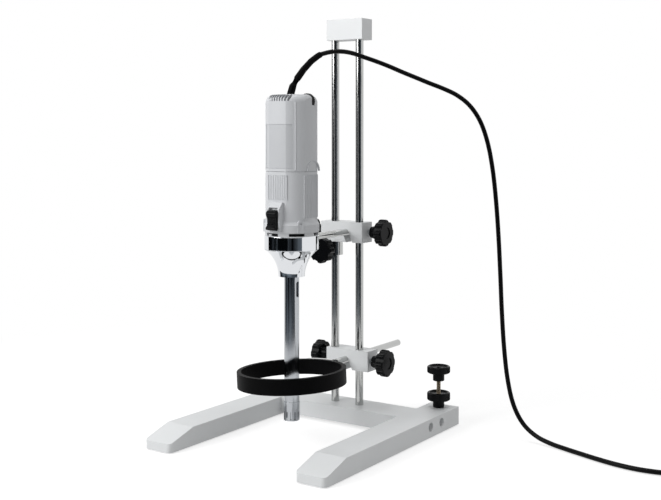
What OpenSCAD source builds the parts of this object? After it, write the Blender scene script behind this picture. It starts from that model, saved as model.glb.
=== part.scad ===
// Rotor stator homogenizer on a two-column bench stand.
// The origin is the middle of the footprint, on the table. +X is to the right,
// +Y to the back and +Z up. Lengths are in millimetres.

/* [Base] */
// Length of each leg, toe to heel
leg_len = 350; // [300:5:420]
// Width of each leg
leg_w = 47; // [40:1:60]
// Height of each leg, without the foot pads
leg_h = 26; // [22:1:34]
// Width over both legs
base_w = 300; // [260:5:360]
// From the column axes forward to the toes
leg_front = 278; // [240:2:300]
// Height of the blunt front of each toe
toe_h = 12; // [6:1:18]
// Length of the sloping top of each toe
toe_len = 47; // [30:1:60]
// Front-to-back depth of the crossbar
bar_d = 56; // [44:1:64]
// Height of the crossbar, flush with the tops of the legs
bar_h = 23; // [18:1:26]
// How far the rubber foot pads stand below the legs
pad_proud = 1; // [0.5:0.5:3]
// Diameter of the foot pads
pad_d = 22; // [14:1:30]
// Thread diameter of the screws that hold legs to crossbar
leg_screw_d = 8; // [6:1:10]
// Distance between the two screws of a leg
leg_screw_pitch = 32; // [24:1:34]

/* [Columns and top block] */
// Diameter of the two columns
col_d = 12; // [10:0.5:14]
// Distance between the column axes
col_pitch = 43; // [42:0.5:50]
// Height of the underside of the top block
top_z = 570; // [540:5:620]
// Height of the top block
top_h = 31; // [24:1:40]
// From a column axis to the short end of a block
end_short = 10; // [8.5:0.5:14]
// From a column axis to the long end of a clamp block
end_long = 20; // [17:0.5:26]
// From the column axes to the front face of each block
block_front = 9; // [8:0.5:12]
// Depth of each block
block_d = 28; // [26:0.5:34]
// How deep the columns go into the crossbar and the top block
col_seat = 20; // [12:1:22]

/* [Clamp blocks] */
// Height of both clamp blocks
clamp_h = 30; // [26:1:34]
// Height of the middle of the upper clamp block
upper_z = 284; // [270:1:300]
// Height of the middle of the lower clamp block
lower_z = 94; // [90:1:120]
// Sideways place of the rod seat in the blocks
seat_x = 2.5; // [0:0.5:3]
// Lean of the rod slot from the vertical, in degrees
slot_lean = 23; // [0:1:23]
// Diameter of both rods
rod_d = 10; // [8:0.5:10]
// Thread diameter of the clamp screws
clamp_screw_d = 8; // [5:0.5:8]
// From the column axes back to the rod clamp screw
rod_screw_back = 11.5; // [11.5:0.25:13]

/* [Star knobs] */
// Diameter over the lobes
knob_d = 40; // [32:1:44]
// Height of a whole knob
knob_h = 26; // [22:1:30]
// Thickness of the lobed rim
knob_rim = 13; // [9:1:15]
// Diameter of the hub's small end
knob_hub_d = 17; // [13:1:20]
// Number of lobes
knob_lobes = 8; // [6:1:10]
// Bare screw between block and knob
knob_gap = 5; // [3:0.5:8]

/* [Stop collar] */
// Outer diameter of the stop collar
stop_d = 23; // [20:0.5:26]
// Height of the stop collar
stop_h = 20; // [16:1:24]

/* [Levelling screw] */
// Diameter of its two round knobs
lev_d = 32; // [26:1:36]
// Thickness of the knob discs
lev_disc = 10.5; // [8:0.5:13]
// Diameter of the hubs
lev_hub_d = 16.5; // [14:0.5:20]
// Height of the hubs
lev_hub_h = 11; // [8:0.5:14]
// Thread diameter
lev_screw_d = 6; // [6:0.5:8]
// From the leg's heel to the screw
lev_inset = 19; // [19:1:26]
// Bare thread between the two knobs
lev_gap = 18; // [12:1:30]

/* [Motor] */
// From the column axes forward to the motor axis
arm_reach = 145; // [135:1:165]
// Width of the housing over its flat sides
motor_w = 68; // [64:1:72]
// Diameter over the rounded corners
motor_d = 71.5; // [70:0.5:78]
// Height of the top of the housing
motor_top = 485; // [475:1:500]
// Height of the joint between the two housings
motor_joint = 380; // [372:1:388]
// Wall thickness of the housings
motor_wall = 2.5; // [2:0.5:3]
// Radius of the rounded top edge
motor_round = 11; // [8:1:14]
// Width of the flared foot of the lower housing
motor_foot_d = 77; // [74:1:80]
// Diameter of the mounting neck
neck_d = 43; // [38:1:46]

/* [Collar and adapter] */
// Diameter of the motor collar
collar_d = 75.5; // [72:0.5:80]
// Height of the collar's underside
collar_z = 271.5; // [268:0.5:272.5]
// Height of the collar
collar_h = 19.5; // [18:0.5:21]
// Height of the air gap between collar and housing
air_gap = 5.5; // [4:0.5:8]
// Height of the trumpet adapter under the collar
cone_h = 37.5; // [30:0.5:45]
// Diameter of the adapter's lower end
cone_low_d = 37; // [32:0.5:40]

/* [Dispersing tool] */
// Outer diameter of the tool tube
tube_d = 21; // [18:0.5:25]
// Wall thickness of the tool tube
tube_wall = 1.5; // [1:0.25:2.5]
// Height of the lower end of the stator head
tool_low = 34; // [25:1:60]
// Height of the stator head
stator_h = 26; // [20:1:36]
// Diameter of the drive shaft
shaft_d = 8; // [6:0.5:9]
// Length of the two outlet slots
outlet_len = 22; // [14:1:28]
// Width of the two outlet slots
outlet_w = 6; // [3:0.5:8]

/* [Vessel holder] */
// Inner diameter of the rubber strap
strap_id = 140; // [120:1:150]
// Thickness of the strap
strap_t = 6; // [3:0.5:8]
// Height of the strap
strap_h = 21.5; // [15:0.5:28]
// Roll of the strap about the rod, in degrees
strap_roll = 3; // [0:0.5:5]
// From the column axes back to the rear end of the holder rod
holder_back = 145; // [120:1:160]

/* [Mains cord] */
// Diameter of the cord
cord_d = 6.5; // [6:0.25:8]
// Diameter of the coil at the middle of its turns
coil_mid_d = 72; // [65:1:78]
// Length of the strain relief
relief_len = 56; // [40:1:60]

/* [Hidden] */

$fn = 96;
seat = 0.02;             // fit of parts that are fixed together, per side
run = 0.05;              // running fit, per side
near = 0.3;              // gap between parts that only come close
eps = 1;                 // overshoot of a cut

col_y = (leg_front - holder_back) / 2;
motor_y = col_y - arm_reach;
leg_x = (base_w - leg_w) / 2;
leg_top = pad_proud + leg_h;
bar_z = leg_top - bar_h;
bar_l = base_w - 2 * leg_w;
heel_y = col_y - leg_front + leg_len;
toe_y = col_y - leg_front;
col_low = leg_top - min(col_seat, bar_h - 8);
col_high = top_z + min(col_seat, top_h - 6);
col_x = col_pitch / 2;

// ---------- shared shapes ----------

// A bar along +Y with its underside on z = 0, centred on x = 0
module slab(w, d, h) {
    translate([-w / 2, 0, 0]) cube([w, d, h]);
}

// A cylinder along +X from x = 0
module rod_x(d, l) {
    rotate([0, 90, 0]) cylinder(d = d, h = l);
}

// A cylinder along +Y from y = 0
module rod_y(d, l) {
    rotate([-90, 0, 0]) cylinder(d = d, h = l);
}

// Socket head cap screw, head underside on z = 0 and shank down
module cap_screw(d, l) {
    difference() {
        union() {
            cylinder(d = 1.6 * d, h = d);
            translate([0, 0, -l]) cylinder(d = d, h = l + 0.5);
        }
        translate([0, 0, d / 2]) cylinder(d = 0.9 * d, h = d, $fn = 6);
    }
}

// Pocket for a cap screw whose head underside sits on z = 0
module cap_pocket(d, l, deep, play = seat) {
    cylinder(d = 1.6 * d + 2 * play, h = deep);
    translate([0, 0, -l]) cylinder(d = d + 2 * play, h = l + eps);
}

// ---------- base ----------

module leg_bar() {
    translate([0, toe_y, pad_proud]) rotate([90, 0, 90])
        linear_extrude(leg_w, center = true)
            polygon([[0, 0], [leg_len, 0], [leg_len, leg_h], [toe_len, leg_h], [0, toe_h]]);
}

screw_head = 1.6 * leg_screw_d;
screw_z = bar_z + bar_h / 2;
screw_shift = 3;
screw_grip = leg_w - 2 * leg_screw_d;      // leg material under a screw head
screw_bite = 22;                           // thread length in the crossbar

module each_leg_screw(side) {
    for (k = [-1, 1])
        translate([side * (base_w / 2 - 2 * leg_screw_d),
            col_y + screw_shift + k * leg_screw_pitch / 2, screw_z])
            rotate([0, side * 90, 0]) children();
}

pad_seat = 2;
pad_in = 26;                                // pad centre from the end of a leg
function pad_places() = [[-leg_x, toe_y + pad_in], [leg_x, toe_y + pad_in],
    [-leg_x, heel_y - pad_in]];

module leg(side) {
    difference() {
        translate([side * leg_x, 0, 0]) leg_bar();
        each_leg_screw(side)
            cap_pocket(leg_screw_d, screw_grip + eps, 2 * leg_screw_d + eps);
        for (p = pad_places())
            translate([p[0], p[1], 0]) cylinder(d = pad_d + 2 * seat, h = pad_proud + pad_seat);
    }
}

module left_leg() {
    color("#dfe2e3") leg(-1);
}

lev_x = leg_x;
lev_y = heel_y - lev_inset;

module right_leg() {
    color("#dfe2e3") difference() {
        leg(1);
        translate([lev_x, lev_y, 0]) cylinder(d = lev_screw_d + 2 * run, h = leg_top + eps);
    }
}

module crossbar() {
    color("#dfe2e3") difference() {
        translate([-bar_l / 2, col_y - bar_d / 2, bar_z]) cube([bar_l, bar_d, bar_h]);
        for (s = [-1, 1]) {
            translate([s * col_x, col_y, col_low]) cylinder(d = col_d + 2 * seat, h = leg_top);
            each_leg_screw(s)
                translate([0, 0, -screw_grip - screw_bite - eps])
                    cylinder(d = leg_screw_d + 2 * seat, h = screw_bite + 2 * eps + 1);
            translate([s * col_x, col_y, bar_z + col_screw_head])
                rotate([180, 0, 0]) cap_pocket(col_screw_d, col_low - bar_z, col_screw_head + eps);
        }
    }
}

module leg_screws() {
    color("#3a3c3e") for (s = [-1, 1])
        each_leg_screw(s) cap_screw(leg_screw_d, screw_grip + screw_bite);
}

module foot_pads() {
    color("#1b1b1c") for (p = pad_places())
        translate([p[0], p[1], 0]) cylinder(d = pad_d, h = pad_proud + pad_seat - seat);
}

// ---------- columns ----------

col_screw_d = 4;
col_screw_head = 4;
col_bite = 12;

module column(side) {
    translate([side * col_x, col_y, 0]) difference() {
        translate([0, 0, col_low]) cylinder(d = col_d, h = col_high - col_low);
        translate([0, 0, col_low - eps]) cylinder(d = col_screw_d + 2 * seat, h = col_bite + eps);
        translate([0, 0, col_high - col_bite])
            cylinder(d = col_screw_d + 2 * seat, h = col_bite + eps);
    }
}

module column_left() {
    color("#c9cbcc") column(-1);
}

module column_right() {
    color("#c9cbcc") column(1);
}

// Screws from below through the crossbar and from above through the top block
module column_screws() {
    color("#3a3c3e") for (s = [-1, 1]) translate([s * col_x, col_y, 0]) {
        translate([0, 0, bar_z + col_screw_head]) rotate([180, 0, 0])
            cap_screw(col_screw_d, col_low - bar_z - col_screw_head + col_bite - 2);
        translate([0, 0, top_z + top_h - col_screw_head])
            cap_screw(col_screw_d, top_z + top_h - col_screw_head - col_high + col_bite - 2);
    }
}

module top_block() {
    color("#e3e5e6") difference() {
        translate([-col_x - end_short, col_y - block_front, top_z])
            cube([col_pitch + 2 * end_short, block_d, top_h]);
        for (s = [-1, 1]) translate([s * col_x, col_y, 0]) {
            translate([0, 0, top_z - eps])
                cylinder(d = col_d + 2 * seat, h = col_high - top_z + eps);
            translate([0, 0, top_z + top_h - col_screw_head])
                cap_pocket(col_screw_d, top_h, col_screw_head + eps);
        }
    }
}

// ---------- levelling screw ----------

lock_low = leg_top;
lock_high = lock_low + lev_hub_h + lev_disc;
lev_knob_low = lock_high + lev_gap;
lev_knob_high = lev_knob_low + lev_hub_h - 2 + lev_disc;

// Round knob with a hub below, a softened rim and a dished top
module round_knob(hub_h) {
    edge = 1.5;
    rotate_extrude() difference() {
        union() {
            square([lev_hub_d / 2, hub_h + edge]);
            translate([0, hub_h]) square([lev_d / 2 - edge, lev_disc]);
            translate([0, hub_h + edge]) square([lev_d / 2, lev_disc - 2 * edge]);
            for (z = [edge, lev_disc - edge])
                translate([lev_d / 2 - edge, hub_h + z]) circle(edge, $fn = 48);
        }
        translate([0, hub_h + lev_disc - 2]) square([lev_d / 2 - 4, 3]);
    }
}

module leveling_knob() {
    color("#111214") translate([lev_x, lev_y, lev_knob_low]) difference() {
        round_knob(lev_hub_h - 2);
        translate([0, 0, -eps]) cylinder(d = lev_screw_d + 2 * seat, h = lev_knob_high);
    }
}

module leveling_stud() {
    color("#b9bbbd") translate([lev_x, lev_y, 0]) {
        translate([0, 0, 2]) cylinder(d = lev_screw_d, h = lev_knob_high - 6 - 2);
        cylinder(d1 = lev_screw_d - 2, d2 = lev_screw_d, h = 2);
    }
}

module lock_knob() {
    color("#111214") translate([lev_x, lev_y, lock_low + near]) difference() {
        round_knob(lev_hub_h - near);
        translate([0, 0, -eps]) cylinder(d = lev_screw_d + 2 * run, h = lock_high);
    }
}

// ---------- star knob with its screw, along +X from the face of a block ----------

module knob_outline() {
    lobe_r = 0.17 * knob_d;
    circle(knob_d / 2 - 0.45 * lobe_r);
    for (k = [0 : knob_lobes - 1]) rotate(k * 360 / knob_lobes)
        translate([knob_d / 2 - 0.62 * lobe_r, 0]) circle(0.62 * lobe_r, $fn = 48);
}

// Lobed rim with rounded edges on a ribbed, tapered hub; the hub's end is at z = 0
module star_knob() {
    hub_h = knob_h - knob_rim;
    soft = 3;
    difference() {
        union() {
            cylinder(d1 = knob_hub_d, d2 = knob_hub_d + 5, h = hub_h + 1);
            translate([0, 0, hub_h]) intersection() {
                linear_extrude(knob_rim) knob_outline();
                rotate_extrude() union() {
                    square([knob_d / 2 - soft, knob_rim]);
                    translate([0, soft]) square([knob_d / 2, knob_rim - 2 * soft]);
                    for (z = [soft, knob_rim - soft])
                        translate([knob_d / 2 - soft, z]) circle(soft);
                }
            }
            for (k = [0 : knob_lobes - 1]) rotate(k * 360 / knob_lobes)
                rotate([90, 0, 0]) linear_extrude(2, center = true)
                    polygon([[knob_hub_d / 2 - 2, hub_h / 3], [knob_hub_d / 2 + 1, hub_h / 3],
                        [knob_d / 2 - 5, hub_h + 1], [knob_hub_d / 2 - 2, hub_h + 1]]);
        }
        translate([0, 0, -eps]) cylinder(d = clamp_screw_d + 2 * seat, h = hub_h + eps);
        translate([0, 0, knob_h - 1.2]) cylinder(d = 0.42 * knob_d, h = 2);
    }
}

module knob_x() {
    color("#131416") translate([knob_gap, 0, 0]) rotate([0, 90, 0]) star_knob();
}

// The screw of a star knob: inner is how far its tip goes into the block
module knob_screw(inner) {
    color("#b9bbbd") translate([-inner, 0, 0])
        rod_x(clamp_screw_d, inner + knob_gap + knob_h - knob_rim);
}

// ---------- clamp blocks ----------

slot_w = rod_d + 2 * run;
rod_screw_in = col_x + end_short - seat_x - rod_d / 2 - near;
col_screw_in = end_long - col_d / 2 - near;

// side says where the long end is: -1 left, 1 right. Middle of the block on z = 0.
module clamp_block(side) {
    left = col_x + (side < 0 ? end_long : end_short);
    l = col_pitch + end_long + end_short;
    rod_in = col_x + end_short + side * seat_x;
    difference() {
        translate([-left, col_y - block_front, -clamp_h / 2]) cube([l, block_d, clamp_h]);
        for (s = [-1, 1]) translate([s * col_x, col_y, -clamp_h])
            cylinder(d = col_d + 2 * run, h = 2 * clamp_h);
        translate([seat_x, col_y - block_front - eps, 0]) {
            rod_y(slot_w, block_d + 2 * eps);
            rotate([0, -slot_lean, 0]) translate([-slot_w / 2, 0, -clamp_h])
                cube([slot_w, block_d + 2 * eps, clamp_h]);
        }
        translate([side * (col_x + end_long + eps), col_y, 0]) rotate([0, 0, side < 0 ? 0 : 180])
            rod_x(clamp_screw_d + 2 * run, end_long);
        translate([-side * (col_x + end_short + eps), col_y + rod_screw_back, 0])
            rotate([0, 0, side < 0 ? 180 : 0])
                rod_x(clamp_screw_d + 2 * run, rod_in);
    }
}

// Places a star knob or its screw on the right (1) or left (-1) end of a block
module at_end(side, reach, back, z) {
    translate([side * (col_x + reach), col_y + back, z]) rotate([0, 0, side > 0 ? 0 : 180])
        children();
}

module upper_block() {
    color("#e6e8ea") translate([0, 0, upper_z]) clamp_block(-1);
}

module upper_rod_knob() {
    at_end(1, end_short, rod_screw_back, upper_z) knob_x();
}

module upper_rod_screw() {
    at_end(1, end_short, rod_screw_back, upper_z) knob_screw(rod_screw_in);
}

module upper_column_knob() {
    at_end(-1, end_long, 0, upper_z) knob_x();
}

module upper_column_screw() {
    at_end(-1, end_long, 0, upper_z) knob_screw(col_screw_in);
}

module lower_block() {
    color("#e6e8ea") translate([0, 0, lower_z]) clamp_block(1);
}

module lower_column_knob() {
    at_end(1, end_long, 0, lower_z) knob_x();
}

module lower_column_screw() {
    at_end(1, end_long, 0, lower_z) knob_screw(col_screw_in);
}

module lower_rod_knob() {
    at_end(-1, end_short, rod_screw_back, lower_z) knob_x();
}

module lower_rod_screw() {
    at_end(-1, end_short, rod_screw_back, lower_z)
        knob_screw(col_x + end_short + seat_x - rod_d / 2 - near);
}

// ---------- stop collar on the left column ----------

stop_top = upper_z - clamp_h / 2 - near;
stop_mid = stop_top - stop_h / 2;

module at_stop() {
    translate([-col_x, col_y, stop_mid]) rotate([0, 0, -90]) translate([stop_d / 2, 0, 0])
        children();
}

module stop_collar() {
    color("#c9cbcc") difference() {
        translate([-col_x, col_y, stop_top - stop_h]) cylinder(d = stop_d, h = stop_h);
        translate([-col_x, col_y, 0]) cylinder(d = col_d + 2 * run, h = stop_top + eps);
        at_stop() translate([-(stop_d - col_d) / 2 - eps, 0, 0])
            rod_x(clamp_screw_d + 2 * run, stop_d);
    }
}

module stop_knob() {
    at_stop() knob_x();
}

module stop_screw() {
    at_stop() knob_screw((stop_d - col_d) / 2 - near);
}

// ---------- arm: rod, collar, adapter ----------

collar_top = collar_z + collar_h;
foot_z = collar_top + air_gap;
rod_in_collar = 12;
arm_back = 40;                              // arm rod behind the column axes
collar_flat_at = 80;                        // where the flat looks, from the front towards the right
collar_flat_half = 22;                      // half the angle that the flat takes
slit_at = 101;                              // where the clamp slit is, from the front

module at_motor(z = 0) {
    translate([seat_x, motor_y, z]) children();
}

module arm_rod() {
    front = motor_y + collar_d / 2 - rod_in_collar;
    color("#c2c4c5") translate([seat_x, front, upper_z]) rod_y(rod_d, col_y + arm_back - front);
}

collar_screw_d = 5;
slit_w = 2;

// Ring with a flat for the pinch screw, a slit behind it and the rod's hole at the back
module motor_collar() {
    edge = 1;
    color("#d6d8da") difference() {
        at_motor(collar_z) rotate_extrude() union() {
            square([collar_d / 2 - edge, collar_h]);
            translate([0, edge]) square([collar_d / 2, collar_h - 2 * edge]);
            for (z = [edge, collar_h - edge])
                translate([collar_d / 2 - edge, z]) circle(edge, $fn = 48);
        }
        at_motor(collar_z - eps) cylinder(d = neck_d + 2 * seat, h = collar_h + 2 * eps);
        at_motor(upper_z) translate([0, collar_d / 2 - rod_in_collar, 0])
            rod_y(rod_d + 2 * seat, collar_d);
        at_motor(collar_z - eps) rotate(180 + collar_flat_at)
            translate([0, collar_d / 2 * cos(collar_flat_half), 0])
                slab(collar_d, collar_d, collar_h + 2 * eps);
        at_motor(collar_z - eps) rotate(180 + slit_at) translate([0, neck_d / 4, 0])
            slab(slit_w, collar_d, collar_h + 2 * eps);
        collar_screw_at() cap_pocket(collar_screw_d, 17, collar_d / 2);
    }
}

// The pinch screw crosses the slit half way through the ring's wall, its head to the back
module collar_screw_at() {
    at_motor(collar_z + collar_h / 2) rotate(180 + slit_at)
        translate([-6, (neck_d + collar_d) / 4, 0]) rotate([0, -90, 0]) children();
}

module collar_screw() {
    color("#4a4c4e") collar_screw_at() cap_screw(collar_screw_d, 16);
}

// Trumpet profile: vertical at its lower end, flaring out to the collar
module cone_adapter() {
    dr = (collar_d - cone_low_d) / 2;
    arc_r = (dr * dr + cone_h * cone_h) / (2 * dr);
    low = collar_z - cone_h;
    color("#cfd2d4") difference() {
        at_motor(low) rotate_extrude() difference() {
            square([collar_d / 2, cone_h]);
            translate([cone_low_d / 2 + arc_r, 0]) circle(arc_r, $fn = 180);
        }
        at_motor(low - eps) cylinder(d = tube_d + 2 * seat, h = cone_h + 2 * eps);
        at_motor(collar_z - 16) cylinder(d = neck_bore + 2, h = 20);
        at_motor(collar_z - 9) rotate([0, 0, 58]) rotate([90, 0, 0]) translate([0, 0, tube_d / 2])
            cylinder(d = 4, h = collar_d);
    }
}

// ---------- dispersing tool ----------

tube_top = collar_z - 16;
stator_low = tool_low;
stator_d = tube_d + 1;

module tool_tube() {
    low = stator_low + stator_h;
    color("#c6c8ca") difference() {
        at_motor(low) cylinder(d = tube_d, h = tube_top - low);
        at_motor(low - eps) cylinder(d = tube_d - 2 * tube_wall, h = tube_top);
        outlet_z = collar_z - cone_h - 7 - outlet_len / 2;
        at_motor(outlet_z) rotate([0, 90, 0]) linear_extrude(2 * tube_d, center = true) union() {
            square([outlet_len - outlet_w, outlet_w], center = true);
            for (s = [-1, 1]) translate([s * (outlet_len - outlet_w) / 2, 0])
                circle(d = outlet_w, $fn = 48);
        }
    }
}

bush_h = 8;
function bush_places() = [stator_low + stator_h + 12, (tube_top + stator_low) / 2, tube_top - 14];

module shaft_bushes() {
    color("#ece9df") for (z = bush_places()) at_motor(z) difference() {
        cylinder(d = tube_d - 2 * tube_wall - 2 * seat, h = bush_h);
        translate([0, 0, -eps]) cylinder(d = shaft_d + 2 * run, h = bush_h + 2 * eps);
    }
}

stator_slots = 12;

// Slotted ring at the bottom, threaded spigot above that goes up into the tube
module stator_head() {
    bore = stator_d - 4;
    spigot = 8;
    color("#cfd1d3") at_motor(stator_low) difference() {
        union() {
            cylinder(d = stator_d, h = stator_h);
            translate([0, 0, stator_h])
                cylinder(d = tube_d - 2 * tube_wall - 2 * seat, h = spigot);
        }
        translate([0, 0, -eps]) cylinder(d = bore, h = stator_h - 4 + eps);
        cylinder(d = shaft_d + 3, h = stator_h + spigot + eps);
        for (k = [0 : stator_slots - 1]) rotate(k * 360 / stator_slots)
            translate([0, 0, 1.5]) slab(1.8, stator_d, 11);
    }
}

rotor_teeth = 4;
rotor_h = 18;

// Toothed cup that turns inside the slotted ring
module rotor_head() {
    bore = stator_d - 4;
    d = bore - 1;
    tooth_h = 11;
    color("#b9bcbe") at_motor(stator_low + 1) difference() {
        union() {
            cylinder(d = d, h = rotor_h - 3);
            cylinder(d = shaft_d + 1, h = rotor_h);
        }
        translate([0, 0, -eps]) cylinder(d = d - 4, h = tooth_h + eps);
        for (k = [0 : rotor_teeth - 1]) rotate(k * 360 / rotor_teeth)
            translate([0, 0, -eps]) slab(5, d, tooth_h + eps);
        cylinder(d = shaft_d - 2 + 2 * seat, h = rotor_h + eps);
    }
}

// Long shaft, stepped down where the rotor head sits on it
module drive_shaft() {
    low = stator_low + 1;
    color("#c2c4c6") at_motor(0) {
        translate([0, 0, low + 1]) cylinder(d = shaft_d - 2, h = rotor_h);
        translate([0, 0, low + rotor_h]) cylinder(d = shaft_d, h = spindle_low - low - rotor_h);
    }
}

// ---------- motor housing ----------

// Rounded square with slightly crowned sides, made of circles only
module body_outline(inset = 0) {
    crown = 90;
    half = motor_w / 2 - inset;
    intersection() {
        circle(motor_d / 2 - inset, $fn = 144);
        intersection_for (k = [0 : 3]) rotate(k * 90) translate([crown - half, 0])
            circle(crown, $fn = 360);
    }
}

// Solid of revolution with a rounded top edge, used to round the housing
module rounded_drum(r, z0, z1, soft) {
    translate([0, 0, z0]) rotate_extrude($fn = 144) union() {
        square([r - soft, z1 - z0]);
        square([r, z1 - z0 - soft]);
        translate([r - soft, z1 - z0 - soft]) circle(soft);
    }
}

vent_count = 9;
vent_pitch = 4.2;

module vents() {
    for (k = [0 : vent_count - 1])
        translate([(k - (vent_count - 1) / 2) * vent_pitch, -motor_d / 2 + 2, motor_top - 11])
            rotate([-38, 12, 0]) translate([0, 0, 9]) cube([2, 20, 7], center = true);
}

label_w = 44;
label_low = motor_joint + 4;
label_high = motor_joint + 64;

module label_pocket(grow) {
    translate([-label_w / 2 - grow, -motor_d / 2 - 2, label_low - grow])
        cube([label_w + 2 * grow, motor_d / 4, label_high - label_low + 2 * grow]);
}

relief_x = -1.5;

module upper_housing() {
    bridge_z = motor_top - 26;
    color("#c9cbcf") at_motor() difference() {
        union() {
            intersection() {
                translate([0, 0, motor_joint]) linear_extrude(motor_top - motor_joint) body_outline();
                rounded_drum(motor_d / 2, motor_joint - eps, motor_top, motor_round);
            }
            for (k = [0 : 3]) rotate(45 + 90 * k) translate([motor_d / 2 - 1.1, 0, motor_joint + 2])
                cylinder(r = 1.6, h = motor_top - motor_joint - motor_round - 2, $fn = 32);
            side_arc();
        }
        difference() {
            intersection() {
                translate([0, 0, motor_joint - eps])
                    linear_extrude(motor_top - motor_joint - motor_wall) body_outline(motor_wall);
                rounded_drum(motor_d / 2 - motor_wall, motor_joint - 2 * eps,
                    motor_top - motor_wall, motor_round - motor_wall);
            }
            translate([0, 0, bridge_z]) slab_cross(motor_d, 14, 8);
        }
        translate([0, 0, bridge_z - eps]) cylinder(d = bearing_d + 2 * seat, h = bearing_h + eps);
        translate([0, 0, bridge_z - eps]) cylinder(d = spindle_d + 2, h = 12);
        difference() {
            label_pocket(0);
            translate([0, 0, label_low - 2]) linear_extrude(label_high) body_outline(1);
        }
        vents();
        translate([relief_x, 0, motor_top - 12]) cylinder(d = relief_d + 2 * seat, h = 20);
        dial_pocket();
        each_housing_screw() translate([0, 0, -eps])
            cylinder(d = case_screw_d + 2 * seat, h = case_bite + eps);
    }
    color("#c9cbcf") at_motor() dial_fork();
}

// Thin raised arc on the right side, standing on the joint
module side_arc() {
    r = 15;
    intersection() {
        translate([motor_w / 2 - 2, 4, motor_joint]) rotate([0, 90, 0]) difference() {
            cylinder(r = r, h = 2.6);
            translate([0, 0, -eps]) cylinder(r = r - 1.4, h = 5);
        }
        translate([0, -motor_d, motor_joint]) cube([motor_d, 2 * motor_d, r + eps]);
    }
}

// Two crossed webs that carry the upper bearing
module slab_cross(l, w, h) {
    difference() {
        union() {
            translate([0, -l / 2, 0]) slab(w, l, h);
            rotate(90) translate([0, -l / 2, 0]) slab(w, l, h);
            cylinder(d = bearing_d + 6, h = h);
        }
        translate([0, 0, h]) cylinder(d = 2 * relief_d, h = 30);
    }
}

case_screw_d = 4;
case_bite = 14;

module each_housing_screw() {
    for (k = [0 : 3]) rotate(45 + 90 * k)
        translate([motor_d / 2 - motor_wall - 4.2, 0, motor_joint]) children();
}

module housing_screws() {
    color("#5c5e60") at_motor() each_housing_screw()
        translate([0, 0, -case_grip]) rotate([180, 0, 0]) cap_screw_up();
}

case_grip = 6;

module cap_screw_up() {
    cylinder(d = 7, h = 3);
    translate([0, 0, -case_grip - case_bite + 1]) cylinder(d = case_screw_d, h = case_grip + case_bite);
}

module label_plate() {
    color("#d3d5d8") at_motor() intersection() {
        label_pocket(-0.3);
        translate([0, 0, label_low]) linear_extrude(label_high - label_low) difference() {
            body_outline(0.4);
            body_outline(1);
        }
    }
}

rib_count = 11;
rib_pitch = 3.1;
flare_h = 20;

module lower_ribs() {
    for (side = [0 : 3]) rotate(side * 90) for (k = [0 : rib_count - 1]) {
        off = (k - (rib_count - 1) / 2) * rib_pitch;
        low = side == 0 ? switch_high + 3 : foot_z + flare_h;
        translate([off, -sqrt(pow(90, 2) - off * off) + 90 - motor_w / 2, low])
            cylinder(r = 0.75, h = motor_joint - 5 - low, $fn = 24);
    }
}

switch_w = 21;
switch_low = foot_z + 3;
switch_high = foot_z + 42;
switch_out = 9;
fan_room_z = foot_z + 8;

module lower_housing() {
    color("#d2d4d8") at_motor() difference() {
        union() {
            translate([0, 0, foot_z]) linear_extrude(motor_joint - 0.6 - foot_z) body_outline();
            translate([0, 0, motor_joint - 0.6]) linear_extrude(0.6) body_outline(1.5);
            difference() {
                union() {
                    translate([0, 0, foot_z]) flare();
                    lower_ribs();
                    for (s = [-1, 1]) rotate(s * 55)
                        translate([0, -motor_foot_d / 2 + 3.2, foot_z]) rounded_boss(9, 17);
                }
                surround_block(seat);
            }
        }
        translate([0, 0, fan_room_z]) linear_extrude(motor_joint - case_grip - fan_room_z)
            body_outline(motor_wall);
        translate([0, 0, motor_joint - case_grip - eps]) cylinder(d = motor_d - 24, h = 20);
        translate([0, 0, foot_z - eps]) cylinder(d = flange_d + 2 * seat, h = 12);
        each_housing_screw() {
            translate([0, 0, -case_grip - eps]) cylinder(d = case_screw_d + 2 * seat, h = 20);
        }
    }
}

// Foot of the lower housing, concave where it runs into the body
module flare() {
    r0 = motor_w / 2 - 1;
    r1 = motor_foot_d / 2;
    rotate_extrude($fn = 144) difference() {
        square([r1, flare_h]);
        translate([r0 + flare_h + 1, flare_h + 3]) scale([1, 1]) circle(flare_h);
        translate([r1 + eps, 3]) square([flare_h, flare_h]);
    }
}

// Raised boss with a rounded top and a sunk middle, on the foot
module rounded_boss(w, h) {
    rotate([90, 0, 0]) difference() {
        linear_extrude(3.5) union() {
            translate([-w / 2, 0]) square([w, h - w / 2]);
            translate([0, h - w / 2]) circle(d = w, $fn = 48);
        }
        translate([0, 0, 2]) linear_extrude(3) union() {
            translate([-w / 2 + 2.2, 2]) square([w - 4.4, h - w / 2 - 2]);
            translate([0, h - w / 2]) circle(d = w - 4.4, $fn = 48);
        }
    }
}

switch_mid = switch_low + 14.5;
switch_travel = 5;
rocker_w = 14;
rocker_h = 24;
rocker_t = 7;

module surround_block(grow) {
    h = switch_high - switch_low;
    translate([-switch_w / 2 - grow, -motor_w / 2 + 2, switch_low - grow]) rotate([90, 0, 90])
        linear_extrude(switch_w + 2 * grow)
            polygon([[0, 0], [0, h + 2 * grow], [-4, h + 2 * grow], [-2 - switch_out, h - 9],
                [-2 - switch_out, 6], [-switch_out, 0]]);
}

// Wedge-shaped surround that stands out of the front and holds the slide
module switch_surround() {
    front = -motor_w / 2 - switch_out;
    color("#eceef0") at_motor() difference() {
        surround_block(0);
        translate([0, 0, switch_low - eps]) linear_extrude(switch_high - switch_low + 2 * eps)
            body_outline(-seat);
        translate([-rocker_w / 2 - near, front - eps, switch_mid - rocker_h / 2 - near])
            cube([rocker_w + 2 * near, rocker_t - 2 + near + eps,
                rocker_h + switch_travel + 2 * near]);
    }
}

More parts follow.
